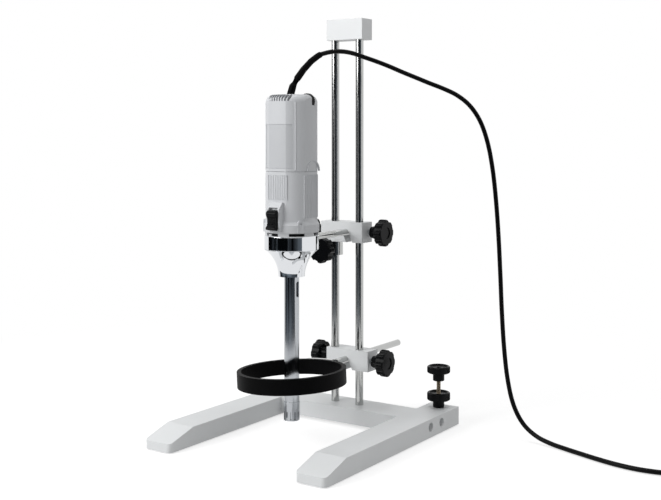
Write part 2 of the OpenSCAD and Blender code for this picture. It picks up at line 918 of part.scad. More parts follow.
// Ridged slide with a hollow front; it travels up in its surround
module switch_rocker() {
    front = -motor_w / 2 - switch_out;
    lip = 2;
    color("#101113") at_motor() translate([0, front, switch_mid]) difference() {
        union() {
            translate([-rocker_w / 2, 0, -rocker_h / 2]) cube([rocker_w, rocker_t - 2, rocker_h]);
            for (k = [-1, 1]) translate([-rocker_w / 2, 0, k * (rocker_h / 2 - lip)])
                rotate([0, 90, 0]) cylinder(r = lip, h = rocker_w, $fn = 48);
        }
        translate([-rocker_w, -22.6, 0]) rotate([0, 90, 0]) cylinder(r = 24, h = 2 * rocker_w);
        for (k = [-2 : 2]) translate([0, 1, k * 3.2]) cube([2 * rocker_w, 2.4, 1], center = true);
    }
}

dial_d = 22;
dial_w = 6;
dial_pin_d = 3;

module dial_at() {
    translate([motor_w / 2 - 10, 4, motor_top - 9.4]) rotate([90, 0, 0]) children();
}

module dial_pocket() {
    dial_at() cylinder(d = dial_d + 2 * near, h = dial_w + 2 * near, center = true);
}

// Two cheeks under the top wall with the pin that the thumbwheel turns on
module dial_fork() {
    dial_at() cylinder(d = dial_pin_d, h = dial_w + 2 * near + 2, center = true);
    for (s = [-1, 1]) dial_at() translate([-5, -4, s * (dial_w / 2 + near + 1) - 1])
        cube([10, 11.5, 2]);
}

// Thumbwheel for the speed, lying in a slot of the rounded top edge
module speed_dial() {
    color("#1a1b1d") at_motor() dial_at() difference() {
        union() {
            cylinder(d = dial_d - 1, h = dial_w, center = true);
            for (k = [0 : 23]) rotate(k * 15) translate([dial_d / 2 - 0.7, 0, 0])
                cylinder(r = 0.7, h = dial_w, center = true, $fn = 16);
        }
        cylinder(d = dial_pin_d + 2 * run, h = 2 * dial_w, center = true);
    }
}

// ---------- air ring, flange, motor works ----------

air_windows = 6;

module air_ring() {
    color("#d2d4d8") at_motor(collar_top + seat) difference() {
        cylinder(d = motor_foot_d - 3, h = air_gap - 2 * seat);
        translate([0, 0, -eps]) cylinder(d = motor_foot_d - 9, h = air_gap + 2 * eps);
        for (k = [0 : air_windows - 1]) rotate(18 + k * 360 / air_windows)
            translate([0, 0, 0.7]) window(36, air_gap - 1.6);
    }
}

// Wedge-shaped cut for a window of the given angle
module window(angle, h) {
    r = motor_foot_d;
    linear_extrude(h) polygon([[0, 0], [r * cos(angle / 2), -r * sin(angle / 2)], [r, 0],
        [r * cos(angle / 2), r * sin(angle / 2)]]);
}

neck_bore = 26;
flange_d = neck_d + 12;

// Flange with the mounting neck; the neck goes down through the collar
module motor_flange() {
    color("#2a2b2e") difference() {
        union() {
            at_motor(collar_z) cylinder(d = neck_d, h = collar_h + 2 * seat);
            at_motor(collar_top + seat) cylinder(d = flange_d, h = air_gap + 9);
            at_motor(lower_bearing_z) cylinder(d = bearing_d + 6, h = bearing_h);
        }
        at_motor(collar_z - eps) cylinder(d = neck_bore, h = lower_bearing_z - 8 - collar_z);
        at_motor(collar_z) cylinder(d = spindle_d + 4, h = 60);
        at_motor(lower_bearing_z) cylinder(d = bearing_d + 2 * seat, h = 20);
    }
}

bearing_d = 22;
bearing_h = 7;
spindle_d = 10;
spindle_low = collar_z - 4;
lower_bearing_z = foot_z + 8;
upper_bearing_z = motor_top - 26;
core_z = motor_joint + 18;
core_h = 40;

module bearings() {
    color("#b5b7b9") for (z = [lower_bearing_z, upper_bearing_z]) at_motor(z) difference() {
        cylinder(d = bearing_d, h = bearing_h - seat);
        translate([0, 0, -eps]) cylinder(d = spindle_d + 2 * run, h = bearing_h + 2 * eps);
    }
}

module motor_spindle() {
    color("#aeb0b2") at_motor(spindle_low)
        cylinder(d = spindle_d, h = upper_bearing_z + bearing_h - spindle_low);
}

// Sleeve that joins the spindle to the drive shaft inside the adapter
module shaft_coupling() {
    grip = 9;
    color("#8f9295") at_motor(spindle_low) difference() {
        translate([0, 0, -grip]) cylinder(d = spindle_d + 6, h = 2 * grip);
        cylinder(d = spindle_d + 2 * seat, h = grip + eps);
        translate([0, 0, -grip - eps]) cylinder(d = shaft_d + 2 * seat, h = grip + 2 * eps);
    }
}

module field_core() {
    color("#7f5a3a") at_motor(core_z) difference() {
        intersection() {
            linear_extrude(core_h) body_outline(motor_wall + seat);
            cylinder(d = motor_d - 2 * motor_wall - 1, h = core_h);
        }
        translate([0, 0, -eps]) cylinder(d = 40, h = core_h + 2 * eps);
        each_core_cut() cylinder(d = 9, h = core_h + 2 * eps);
    }
}

module each_core_cut() {
    for (k = [0 : 3]) rotate(45 + 90 * k)
        translate([motor_d / 2 - motor_wall - 4.2, 0, -eps]) children();
}

module armature() {
    color("#8c8f92") at_motor(core_z) difference() {
        union() {
            cylinder(d = 38, h = core_h);
            translate([0, 0, -6]) cylinder(d = 30, h = core_h + 12);
        }
        translate([0, 0, -20]) cylinder(d = spindle_d + 2 * seat, h = core_h + 40);
        for (k = [0 : 11]) rotate(k * 30) translate([0, 17, -eps]) slab(2.4, 6, core_h + 2 * eps);
    }
}

commutator_z = core_z + core_h + 8;
commutator_h = 12;
commutator_d = 22;

module commutator() {
    color("#b87333") at_motor(commutator_z) difference() {
        cylinder(d = commutator_d, h = commutator_h);
        translate([0, 0, -eps]) cylinder(d = spindle_d + 2 * seat, h = 30);
    }
}

// Brush and holder as one bar on each side, from the commutator to the housing's wall
module brushes() {
    inner = commutator_d / 2 + near;
    outer = motor_w / 2 - motor_wall - near;
    color("#2c2c2e") at_motor(commutator_z + commutator_h / 2) for (s = [-1, 1])
        translate([s * (inner + outer) / 2, 0, 0]) union() {
            cube([outer - inner, 6, 9], center = true);
            translate([s * 3, 0, 0]) cube([outer - inner - 6, 9, 12], center = true);
        }
}

fan_z = foot_z + 26;

// Radial fan below the armature
module fan() {
    color("#2f3133") at_motor(fan_z) difference() {
        union() {
            cylinder(d = 54, h = 2);
            cylinder(d = 18, h = 12);
            for (k = [0 : 9]) rotate(k * 36) translate([0, 8, 0]) slab(1.6, 18.5, 11);
        }
        translate([0, 0, -eps]) cylinder(d = spindle_d + 2 * seat, h = 30);
    }
}

// ---------- vessel holder ----------

holder_y = motor_y;
strap_od = strap_id + 2 * strap_t;
head_t = 6;

module roll_strap() {
    translate([seat_x, holder_y, lower_z]) rotate([0, -strap_roll, 0]) children();
}

module holder_rod() {
    front = holder_y + strap_od / 2 + head_t - 2;
    color("#c2c4c5") translate([seat_x, front, lower_z]) rod_y(rod_d, col_y + holder_back - front);
}

// Curved saddle on the end of the rod that the strap lies against
module holder_head() {
    color("#c9cbcc") roll_strap() difference() {
        intersection() {
            translate([-26, strap_od / 2 - 14, -strap_h / 2]) cube([52, 14 + head_t + 4, strap_h]);
            translate([0, 0, -strap_h / 2]) cylinder(d = strap_od + 2 * head_t, h = strap_h);
        }
        translate([0, 0, -strap_h]) cylinder(d = strap_od + 2 * seat, h = 2 * strap_h);
        translate([0, strap_od / 2 + head_t - 2, 0]) rod_y(rod_d + 2 * seat, 10);
        each_rivet() rod_y(rivet_d + 2 * seat, 30);
    }
}

rivet_d = 5;

module each_rivet() {
    for (s = [-1, 1]) rotate(s * 11) translate([0, strap_id / 2 + 1, 0]) children();
}

// Rivets that hold the ends of the strap on the saddle
module strap_rivets() {
    color("#8c8f92") roll_strap() each_rivet() rod_y(rivet_d, strap_t + head_t);
}

module holder_strap() {
    color("#141414") roll_strap() difference() {
        translate([0, 0, -strap_h / 2]) cylinder(d = strap_od, h = strap_h, $fn = 180);
        translate([0, 0, -strap_h]) cylinder(d = strap_id, h = 2 * strap_h, $fn = 180);
        each_rivet() rod_y(rivet_d + 2 * seat, 30);
    }
}

// ---------- mains cord ----------

relief_d = 11;

// Route of the cord from the strain relief to the coil
cord_route = [[25, -40, 542], [33, -26, 546], [42, -11, 547], [50, 4, 545], [60, 18, 540],
    [73, 31, 534], [88, 41, 527], [104, 50, 519], [121, 59, 511], [138, 68, 503], [156, 77, 495],
    [174, 86, 485], [190, 94, 470], [203, 100, 448], [212, 105, 418], [218, 109, 380],
    [222, 112, 335], [225, 114, 285], [227, 116, 232], [229, 117, 180], [232, 118, 130],
    [237, 119, 85], [246, 119, 49], [261, 118, 24], [282, 115, 10], [306, 109, 4.6],
    [332, 100, 3.4], [358, 90, 3.3], [385, 80, 3.3], [412, 72, 3.3], [440, 68, 3.3],
    [465, 70, 3.3], [485, 76, 3.3], [501, 84.5, 3.3], [515.6, 94.8, 3.3]];

coil_x = 540;
coil_y = 60;
coil_columns = 3;
coil_layers = 2;
coil_w = coil_columns * cord_d;
coil_h = coil_layers * cord_d;
coil_out = (coil_mid_d + coil_w) / 2;

function unit(v) = v / norm(v);
function heading(p, i) = unit(p[min(i + 1, len(p) - 1)] - p[max(i - 1, 0)]);
function sideways(t) = unit(cross(t, abs(t[2]) > 0.9 ? [1, 0, 0] : [0, 0, 1]));

// A tube of n sides swept along the points p; r is a radius or one for each point
module sweep(p, r, n = 8) {
    ring = [for (i = [0 : len(p) - 1])
        let (t = heading(p, i), a = sideways(t), b = cross(t, a), q = is_list(r) ? r[i] : r)
        for (k = [0 : n - 1]) p[i] + q * (cos(360 * k / n) * a + sin(360 * k / n) * b)];
    walls = [for (i = [0 : len(p) - 2]) for (k = [0 : n - 1])
        [i * n + k, i * n + (k + 1) % n, (i + 1) * n + (k + 1) % n, (i + 1) * n + k]];
    last = (len(p) - 1) * n;
    polyhedron(ring, concat(walls, [[for (k = [n - 1 : -1 : 0]) k]],
        [[for (k = [0 : n - 1]) last + k]]));
}

// Smooth curve through the route's points, three steps to each stretch
function spline(a, b, c, d, t) = 0.5 * ((2 * b) + (c - a) * t + (2 * a - 5 * b + 4 * c - d) * t * t
    + (3 * b - a - 3 * c + d) * t * t * t);
function smooth(p, steps) = concat([for (i = [0 : len(p) - 2]) for (s = [0 : steps - 1])
    spline(p[max(i - 1, 0)], p[i], p[i + 1], p[min(i + 2, len(p) - 1)], s / steps)],
    [p[len(p) - 1]]);

module cord() {
    color("#0e0e10") sweep(smooth(cord_route, 2), cord_d / 2);
}

relief_route = [[1, -78.5, 474], [1, -78.5, 486], [3, -76, 497], [6.5, -70, 508], [11, -62, 520],
    [17, -52, 532], [22.5, -43.5, 539.5], [25, -40, 542]];

// Tapered rubber sleeve that guides the cord out of the housing
module strain_relief() {
    n = len(relief_route) - 1;
    color("#111113") sweep(relief_route,
        [for (i = [0 : n]) relief_d / 2 - (relief_d - cord_d - 2) / 2 * i / n], 12);
}

// Outer shape of the wound-up part of the cord
module cord_coil() {
    color("#0e0e10") translate([coil_x, coil_y, 0]) rotate_extrude()
        translate([coil_out - coil_w, 0]) square([coil_w, coil_h]);
}

plug_d = 36;
plug_body = 30;                             // length of the wide part
plug_neck = 26;                             // length of the sleeve on the cord
pin_d = 4.8;
pin_len = 19;
pin_pitch = 19;

// The plug points to the front, where the outermost turn leaves the coil
module at_plug() {
    translate([coil_x + coil_out - cord_d / 2, coil_y - plug_neck - 8, plug_d / 2])
        rotate([90, 0, 0]) children();
}

// Round mains plug: tapered sleeve, shoulder, gripping waist and flat face
module plug() {
    r = plug_d / 2;
    color("#101012") at_plug() rotate_extrude() difference() {
        polygon([[0, -plug_neck], [cord_d / 2 + 1, -plug_neck], [cord_d / 2 + 2.5, -4],
            [r - 9, -1], [r - 4, 4], [r, 12], [r, plug_body], [0, plug_body]]);
        translate([r + 9, 15]) circle(11);
    }
}

module plug_pins() {
    color("#c9b37a") at_plug() for (s = [-1, 1])
        translate([s * pin_pitch / 2, 0, plug_body]) cylinder(d = pin_d, h = pin_len);
}

left_leg();
right_leg();
crossbar();
leg_screws();
foot_pads();
column_left();
column_right();
column_screws();
top_block();
leveling_knob();
leveling_stud();
lock_knob();
upper_block();
upper_rod_knob();
upper_rod_screw();
upper_column_knob();
upper_column_screw();
stop_collar();
stop_knob();
stop_screw();
arm_rod();
motor_collar();
collar_screw();
cone_adapter();
tool_tube();
shaft_bushes();
stator_head();
upper_housing();
lower_housing();
label_plate();
switch_surround();
air_ring();
motor_flange();
field_core();
brushes();
bearings();
housing_screws();
strain_relief();
armature();
commutator();
fan();
motor_spindle();
shaft_coupling();
drive_shaft();
rotor_head();
switch_rocker();
speed_dial();
lower_block();
lower_column_knob();
lower_column_screw();
lower_rod_knob();
lower_rod_screw();
holder_rod();
holder_head();
strap_rivets();
holder_strap();
cord();
cord_coil();
plug();
plug_pins();
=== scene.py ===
"""Finishes, small trim, mains cord and studio for a rotor stator homogenizer on its stand."""
import math

import bmesh
import bpy
from bpy.props import FloatProperty, FloatVectorProperty, PointerProperty
from mathutils import Matrix, Vector


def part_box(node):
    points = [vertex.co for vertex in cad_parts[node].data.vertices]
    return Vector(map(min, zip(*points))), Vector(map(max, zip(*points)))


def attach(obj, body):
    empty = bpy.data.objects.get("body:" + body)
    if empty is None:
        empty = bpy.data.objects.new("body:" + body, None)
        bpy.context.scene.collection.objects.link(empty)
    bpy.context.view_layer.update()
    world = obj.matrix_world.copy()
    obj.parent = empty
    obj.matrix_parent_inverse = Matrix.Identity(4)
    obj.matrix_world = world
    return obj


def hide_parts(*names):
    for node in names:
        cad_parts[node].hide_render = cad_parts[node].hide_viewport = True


bl_info = {
    "name": "Homogenizer finishes",
    "version": (1, 0, 0),
    "blender": (4, 5, 0),
    "location": "3D View > Sidebar > Homogenizer",
    "description": "Dresses the homogenizer's frame and sets up its studio",
    "category": "Object",
}

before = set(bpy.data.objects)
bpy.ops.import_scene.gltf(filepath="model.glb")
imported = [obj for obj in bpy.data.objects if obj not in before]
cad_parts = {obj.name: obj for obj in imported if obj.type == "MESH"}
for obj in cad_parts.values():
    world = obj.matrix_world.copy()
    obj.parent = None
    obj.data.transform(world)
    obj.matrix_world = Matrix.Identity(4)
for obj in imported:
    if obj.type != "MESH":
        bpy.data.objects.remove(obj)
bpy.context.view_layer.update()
MM = 0.001
THREAD_PITCH = 1.0 * MM

MOTOR_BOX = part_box("upper_housing")
MOTOR_AXIS = ((MOTOR_BOX[0] + MOTOR_BOX[1]) / 2).xy
FACE_OUT = 34 * MM       # from the motor's axis to its front face
DRUM_OUT = 35.75 * MM    # from the axis to the round that cuts its corners


# ---------- small tools ----------

def linear(code):
    """An sRGB hex colour as linear RGBA."""
    parts = [int(code[i:i + 2], 16) / 255 for i in (1, 3, 5)]
    return [v / 12.92 if v <= 0.04045 else ((v + 0.055) / 1.055) ** 2.4 for v in parts] + [1.0]


def add(tree, kind, settings=None, **inputs):
    """Adds a node; an input takes a value or another node's output. Names use _ for a space."""
    made = tree.nodes.new(kind)
    for key, value in (settings or {}).items():
        setattr(made, key, value)
    for key, value in inputs.items():
        socket = made.inputs[int(key[2:])] if key.startswith("in") and key[2:].isdigit() \
            else made.inputs[key.replace("_", " ")]
        if isinstance(value, bpy.types.NodeSocket):
            tree.links.new(value, socket)
        else:
            socket.default_value = value
    return made


def ramp(tree, factor, low, high, start=0.0, end=1.0):
    """Colour ramp between two linear colours."""
    made = add(tree, "ShaderNodeValToRGB", in0=factor)
    made.color_ramp.elements[0].position = start
    made.color_ramp.elements[1].position = end
    made.color_ramp.elements[0].color = low
    made.color_ramp.elements[1].color = high
    return made.outputs["Color"]


def spread(tree, factor, low, high):
    """A factor from 0 to 1 spread between two numbers."""
    return add(tree, "ShaderNodeMapRange", in0=factor, in3=low, in4=high).outputs["Result"]


def shade(colour, by):
    """A hex or linear colour lightened or darkened by a share, as linear RGBA."""
    parts = linear(colour) if isinstance(colour, str) else colour
    return [min(1.0, v * (1 + by)) for v in parts[:3]] + [1.0]


def grain(tree, size_mm, stretch=(1, 1, 1), detail=2.0):
    """Noise whose blobs are about size_mm across, in the object's own space."""
    place = add(tree, "ShaderNodeTexCoord").outputs["Object"]
    scaled = add(tree, "ShaderNodeMapping", in0=place, in3=stretch).outputs["Vector"]
    return add(tree, "ShaderNodeTexNoise", in0=scaled, Scale=1 / (size_mm * MM), Detail=detail)


def settings():
    """The sizes, colours and lamp powers that a user may change."""
    return bpy.context.scene.homogenizer


def new_material(name):
    """A node material, its node tree and its main shader."""
    mat = bpy.data.materials.new(name)
    mat.use_nodes = True
    tree = mat.node_tree
    return mat, tree, tree.nodes["Principled BSDF"]


def finish_material(name, colour, metallic, rough, vary=0.04, blotch_mm=18, grain_mm=0.5,
                    bump_mm=0.01, stretch=(1, 1, 1), shine=0.5, ior=None, rough_vary=0.15):
    """Base colour with slow blotches, roughness and bump from a finer grain."""
    mat, tree, bsdf = new_material(name)
    slow = grain(tree, blotch_mm)
    fine = grain(tree, grain_mm, stretch, 4.0)
    tree.links.new(ramp(tree, slow.outputs["Fac"], shade(colour, -vary), shade(colour, vary),
                        0.3, 0.7), bsdf.inputs["Base Color"])
    tree.links.new(spread(tree, fine.outputs["Fac"], rough * (1 - rough_vary),
                          rough * (1 + rough_vary)), bsdf.inputs["Roughness"])
    bump = add(tree, "ShaderNodeBump", Strength=1.0, Distance=bump_mm * MM,
               Height=fine.outputs["Fac"])
    tree.links.new(bump.outputs["Normal"], bsdf.inputs["Normal"])
    bsdf.inputs["Metallic"].default_value = metallic
    bsdf.inputs["Specular IOR Level"].default_value = shine
    if ior:
        bsdf.inputs["IOR"].default_value = ior
    return mat


# ---------- materials ----------

def clear_anodised_aluminium():
    """Bead-blasted and clear anodised: pale, satin, with a soft even sheen."""
    return finish_material("clear_anodised_aluminium", settings().stand_colour, 0.12, 0.5,
                           vary=0.015, blotch_mm=40, grain_mm=0.8, bump_mm=0.008)


def ground_bar_steel():
    """Centreless ground bar: bright, with fine rings round the bar."""
    return finish_material("ground_bar_steel", "#b9bab9", 1.0, 0.14, vary=0.02, grain_mm=0.9,
                           stretch=(0.15, 0.15, 6), bump_mm=0.0008, rough_vary=0.08)


def ground_cross_rod():
    """The same ground bar lying along Y, its rings across it."""
    return finish_material("ground_cross_rod", "#b9bab9", 1.0, 0.14, vary=0.02, grain_mm=0.9,
                           stretch=(0.15, 6, 0.15), bump_mm=0.0008, rough_vary=0.08)


def polished_chrome():
    """Mirror chrome plate over turned steel: nearly no roughness, faint waves."""
    return finish_material("polished_chrome", "#dfe1e4", 1.0, 0.045, vary=0.01, grain_mm=25,
                           bump_mm=0.02, blotch_mm=60)


def turned_stainless():
    """Stainless tube, turned and polished, with hair-fine rings."""
    return finish_material("turned_stainless", "#b5b8bc", 1.0, 0.12, vary=0.02, grain_mm=0.8,
                           stretch=(0.1, 0.1, 5), bump_mm=0.0008, rough_vary=0.08)


def moulded_abs():
    """Moulded ABS with a fine spark-eroded texture, grey-white."""
    return finish_material("moulded_abs", settings().housing_colour, 0.0, 0.42, vary=0.012,
                           grain_mm=0.7, bump_mm=0.03, blotch_mm=45, ior=1.53)


def smooth_abs():
    """Smooth moulded ABS trim, a shade whiter than the housing."""
    return finish_material("smooth_abs", "#d3d5d8", 0.0, 0.36, vary=0.01, grain_mm=2,
                           bump_mm=0.006, blotch_mm=30, ior=1.53)


def moulded_knob_nylon():
    """Glass-filled nylon knobs: black, satin, with a fine grain."""
    return finish_material("moulded_knob_nylon", settings().knob_colour, 0.0, 0.27, vary=0.15,
                           grain_mm=0.6, bump_mm=0.015, blotch_mm=8, shine=0.085)


def shadowed_slot():
    """Painted shade: a dark grey that stands in for the shade inside a vent slot."""
    return finish_material("shadowed_slot", "#6c6e72", 0.0, 0.8, vary=0.3, grain_mm=0.5,
                           bump_mm=0.05, blotch_mm=2, shine=0.1)


def printed_film():
    """Bare label film: nearly the housing's colour, smoother and a shade greyer."""
    return finish_material("printed_film", "#c6c8cb", 0.0, 0.3, vary=0.01, grain_mm=3,
                           bump_mm=0.004, blotch_mm=30, ior=1.5)


def moulded_rubber():
    """Moulded natural rubber: matt black, slightly dusty."""
    return finish_material("moulded_rubber", "#060607", 0.0, 0.5, vary=0.2, grain_mm=0.8,
                           bump_mm=0.04, blotch_mm=10, shine=0.05)


def extruded_cord_sheath():
    """Extruded rubber cord sheath: black with a soft shine."""
    return finish_material("extruded_cord_sheath", "#070708", 0.0, 0.38, vary=0.15, grain_mm=1.5,
                           bump_mm=0.02, blotch_mm=20, shine=0.09)


def black_oxide_steel():
    """Black oxide on socket head screws."""
    return finish_material("black_oxide_steel", "#3a3c3f", 1.0, 0.38, vary=0.1, grain_mm=0.6,
                           bump_mm=0.01, blotch_mm=5)


def zinc_plated_steel():
    """Zinc plated screws: pale and slightly clouded."""
    return finish_material("zinc_plated_steel", "#b4b7ba", 1.0, 0.3, vary=0.06, grain_mm=0.8,
                           bump_mm=0.01, blotch_mm=5)


def rolled_thread():
    """Rolled M6 thread: one wave of relief for each millimetre of height, slightly warm."""
    mat = finish_material("rolled_thread", "#b3a48e", 1.0, 0.3, vary=0.05, grain_mm=0.8,
                          bump_mm=0.01, blotch_mm=5)
    tree = mat.node_tree
    height = add(tree, "ShaderNodeSeparateXYZ",
                 in0=add(tree, "ShaderNodeTexCoord").outputs["Object"]).outputs["Z"]
    turns = add(tree, "ShaderNodeMath", {"operation": "MULTIPLY"}, in0=height,
                in1=2 * math.pi / THREAD_PITCH)
    wave = add(tree, "ShaderNodeMath", {"operation": "SINE"}, in0=turns.outputs[0])
    bump = add(tree, "ShaderNodeBump", Strength=1.0, Distance=0.3 * MM, Height=wave.outputs[0])
    fine = tree.nodes["Principled BSDF"].inputs["Normal"].links[0].from_node
    tree.links.new(bump.outputs["Normal"], fine.inputs["Normal"])
    return mat


def machined_steel():
    """Bare machined steel inside the motor."""
    return finish_material("machined_steel", "#77797c", 1.0, 0.3, vary=0.06, grain_mm=0.8,
                           stretch=(0.2, 0.2, 4), bump_mm=0.01, blotch_mm=10)


def dark_die_casting():
    """Black-painted die casting of the motor's flange."""
    return finish_material("dark_die_casting", "#1b1c1e", 0.0, 0.5, vary=0.1, grain_mm=1.0,
                           bump_mm=0.05, blotch_mm=8)


LAMINATION_SCALE = 62.5    # the wave's scale per metre, for bands about 5 mm high


def varnished_laminations():
    """Stacked sheet steel under brown varnish, in bands about 5 mm high to show."""
    mat, tree, bsdf = new_material("varnished_laminations")
    place = add(tree, "ShaderNodeTexCoord").outputs["Object"]
    wave = add(tree, "ShaderNodeTexWave", {"bands_direction": "Z"}, in0=place,
               Scale=LAMINATION_SCALE, Distortion=0.3)
    tree.links.new(ramp(tree, wave.outputs["Fac"], linear("#2e241c"), linear("#6b5844")),
                   bsdf.inputs["Base Color"])
    bump = add(tree, "ShaderNodeBump", Strength=0.8, Distance=0.1 * MM, Height=wave.outputs["Fac"])
    tree.links.new(bump.outputs["Normal"], bsdf.inputs["Normal"])
    bsdf.inputs["Roughness"].default_value = 0.4
    bsdf.inputs["Metallic"].default_value = 0.5
    return mat


def machined_copper():
    """Turned copper of the commutator."""
    return finish_material("machined_copper", "#b87350", 1.0, 0.25, vary=0.08, grain_mm=0.6,
                           bump_mm=0.01, blotch_mm=4)


def nickel_plated_brass():
    """Nickel plated brass of the plug's pins."""
    return finish_material("nickel_plated_brass", "#c8c3b4", 1.0, 0.18, vary=0.03, grain_mm=1.0,
                           bump_mm=0.004, blotch_mm=6)


def pressed_carbon():
    """Pressed carbon brushes: matt grey-black."""
    return finish_material("pressed_carbon", "#26262a", 0.0, 0.7, vary=0.15, grain_mm=0.5,
                           bump_mm=0.05, blotch_mm=3)


def machined_ptfe():
    """Machined PTFE bushes: waxy white."""
    return finish_material("machined_ptfe", "#e6e3da", 0.0, 0.4, vary=0.02, grain_mm=1.0,
                           bump_mm=0.01, blotch_mm=6, ior=1.38)


FINISHES = {
    clear_anodised_aluminium: ["left_leg", "right_leg", "crossbar", "top_block", "upper_block",
                               "lower_block"],
    ground_bar_steel: ["column_left", "column_right", "stop_collar"],
    ground_cross_rod: ["arm_rod", "holder_rod", "holder_head"],
    polished_chrome: ["motor_collar", "cone_adapter"],
    turned_stainless: ["tool_tube", "stator_head", "rotor_head", "drive_shaft"],
    moulded_abs: ["upper_housing", "lower_housing", "air_ring"],
    smooth_abs: ["switch_surround"],
    printed_film: ["label_plate"],
    moulded_knob_nylon: ["leveling_knob", "lock_knob", "upper_rod_knob", "upper_column_knob",
                         "stop_knob", "lower_column_knob", "lower_rod_knob", "switch_rocker",
                         "speed_dial", "fan", "plug"],
    moulded_rubber: ["foot_pads", "holder_strap", "strain_relief"],
    black_oxide_steel: ["leg_screws", "column_screws", "collar_screw", "housing_screws"],
    rolled_thread: ["leveling_stud"],
    zinc_plated_steel: ["upper_rod_screw", "upper_column_screw", "stop_screw",
                        "lower_column_screw", "lower_rod_screw", "strap_rivets"],
    machined_steel: ["bearings", "motor_spindle", "shaft_coupling"],
    dark_die_casting: ["motor_flange"],
    varnished_laminations: ["field_core", "armature"],
    machined_copper: ["commutator"],
    nickel_plated_brass: ["plug_pins"],
    pressed_carbon: ["brushes"],
    machined_ptfe: ["shaft_bushes"],
    extruded_cord_sheath: ["cord", "cord_coil"],
}
MADE = {}


def material(maker):
    """Each material is made once."""
    if maker not in MADE:
        MADE[maker] = maker()
    return MADE[maker]


# ---------- cord ----------

# mm; from the strain relief over the right side to the coil
CORD_ROUTE = [
    (25, -40, 542), (33, -26, 546), (42, -11, 547), (50, 4, 545), (60, 18, 540),
    (73, 31, 534), (88, 41, 527), (104, 50, 519), (121, 59, 511), (138, 68, 503), (156, 77, 495),
    (174, 86, 485), (190, 94, 470), (203, 100, 448), (212, 105, 418), (218, 109, 380),
    (222, 112, 335), (225, 114, 285), (227, 116, 232), (229, 117, 180), (232, 118, 130),
    (237, 119, 85), (246, 119, 49), (261, 118, 24), (282, 115, 10), (306, 109, 4.6),
    (332, 100, 3.4), (358, 90, 3.3), (385, 80, 3.3), (412, 72, 3.3), (440, 68, 3.3),
    (465, 70, 3.3), (485, 76, 3.3), (501, 84.5, 3.3), (515.6, 94.8, 3.3),
]
CORD_STEPS = 6           # curve points for each stretch of the route
COIL_TURN_STEPS = 48     # curve points for each turn of the coil
COIL_RINGS = 3           # turns side by side in each of the coil's two layers
COIL_LAYERS = (0.5, 1.5)              # heights of the layers, in cord diameters
COIL_START = math.radians(125)        # where the route meets the coil
COIL_SHIFT = 0.8 * math.pi            # the end of a turn, where the cord moves to the next ring
COIL_RISE = 1.6                       # radians before the end, where it rises to the plug
INTO_SLEEVE = 14 * MM                 # the cord's last stretch, inside the plug's sleeve

TIE_AT = math.radians(250)
TIE_CORNER = 3 * MM
TIE_CORNER_STEPS = 5
TIE_THICK = 0.9 * MM
TIE_BROAD = 9 * MM
TIE_LOOSE = 0.4 * MM                  # room between the tie and the coil, top to bottom
TIE_ROOM = 0.1                        # room at its sides, in cord diameters
TIE_LOWEST = 0.2 * MM                 # the tie's underside over the table


def between(a, b, c, d, t):
    """Smooth curve through b and c, for t from 0 to 1."""
    return 0.5 * (2 * b + (c - a) * t + (2 * a - 5 * b + 4 * c - d) * t ** 2
                  + (3 * b - a - 3 * c + d) * t ** 3)


def smooth(points, steps):
    """A smooth line through the points."""
    last = len(points) - 1
    made = []
    for i in range(last):
        a, b = points[max(i - 1, 0)], points[i]
        c, d = points[i + 1], points[min(i + 2, last)]
        made += [between(a, b, c, d, s / steps) for s in range(steps)]
    return made + [points[last]]


def ease(t):
    """From 0 to 1 with a soft start and end."""
    t = min(1.0, max(0.0, t))
    return t * t * (3 - 2 * t)


def coil_points(cord_d):
    """Turns of the coil, clockwise from where the route ends to where the plug's sleeve starts."""
    low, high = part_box("cord_coil")
    centre = (low + high) / 2
    outer = (high.x - low.x) / 2 - cord_d / 2
    bottom, top = (share * cord_d for share in COIL_LAYERS)
    turns = [(outer - k * cord_d, bottom) for k in range(COIL_RINGS)]
    turns += [(outer - k * cord_d, top) for k in reversed(range(COIL_RINGS))]
    total = (len(turns) - 1) * 2 * math.pi + COIL_START
    plug_z = (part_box("plug")[0].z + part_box("plug")[1].z) / 2
    points = []
    count = int(total / (2 * math.pi) * COIL_TURN_STEPS)
    for k in range(1, count + 1):
        gone = total * k / count
        turn, part = divmod(gone, 2 * math.pi)
        here = turns[int(turn)]
        after = turns[min(int(turn) + 1, len(turns) - 1)]
        mix = ease((part - (2 * math.pi - COIL_SHIFT)) / COIL_SHIFT)
        radius = here[0] + (after[0] - here[0]) * mix
        height = here[1] + (after[1] - here[1]) * mix
        height += (plug_z - height) * ease((gone - total + COIL_RISE) / COIL_RISE)
        angle = COIL_START - gone
        points.append(Vector((centre.x + radius * math.cos(angle),
                              centre.y + radius * math.sin(angle), height)))
    return points


def curve_piece(name, points, radius, maker, body):
    """A round cord or wire along the points."""
    data = bpy.data.curves.new(name, "CURVE")
    data.dimensions = "3D"
    data.bevel_depth = radius
    data.bevel_resolution = 4
    data.use_fill_caps = True
    spline = data.splines.new("POLY")
    spline.points.add(len(points) - 1)
    for place, p in zip(spline.points, points):
        place.co = (p[0], p[1], p[2], 1)
    spline.use_smooth = True
    piece = bpy.data.objects.new(name, data)
    bpy.context.collection.objects.link(piece)
    data.materials.append(material(maker))
    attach(piece, body)
    return piece


def mesh_piece(name, mesh, maker, body):
    """An object of its own from a mesh, with its finish, that moves with the body."""
    piece = bpy.data.objects.new(name, mesh)
    bpy.context.collection.objects.link(piece)
    mesh.materials.append(material(maker))
    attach(piece, body)
    return piece


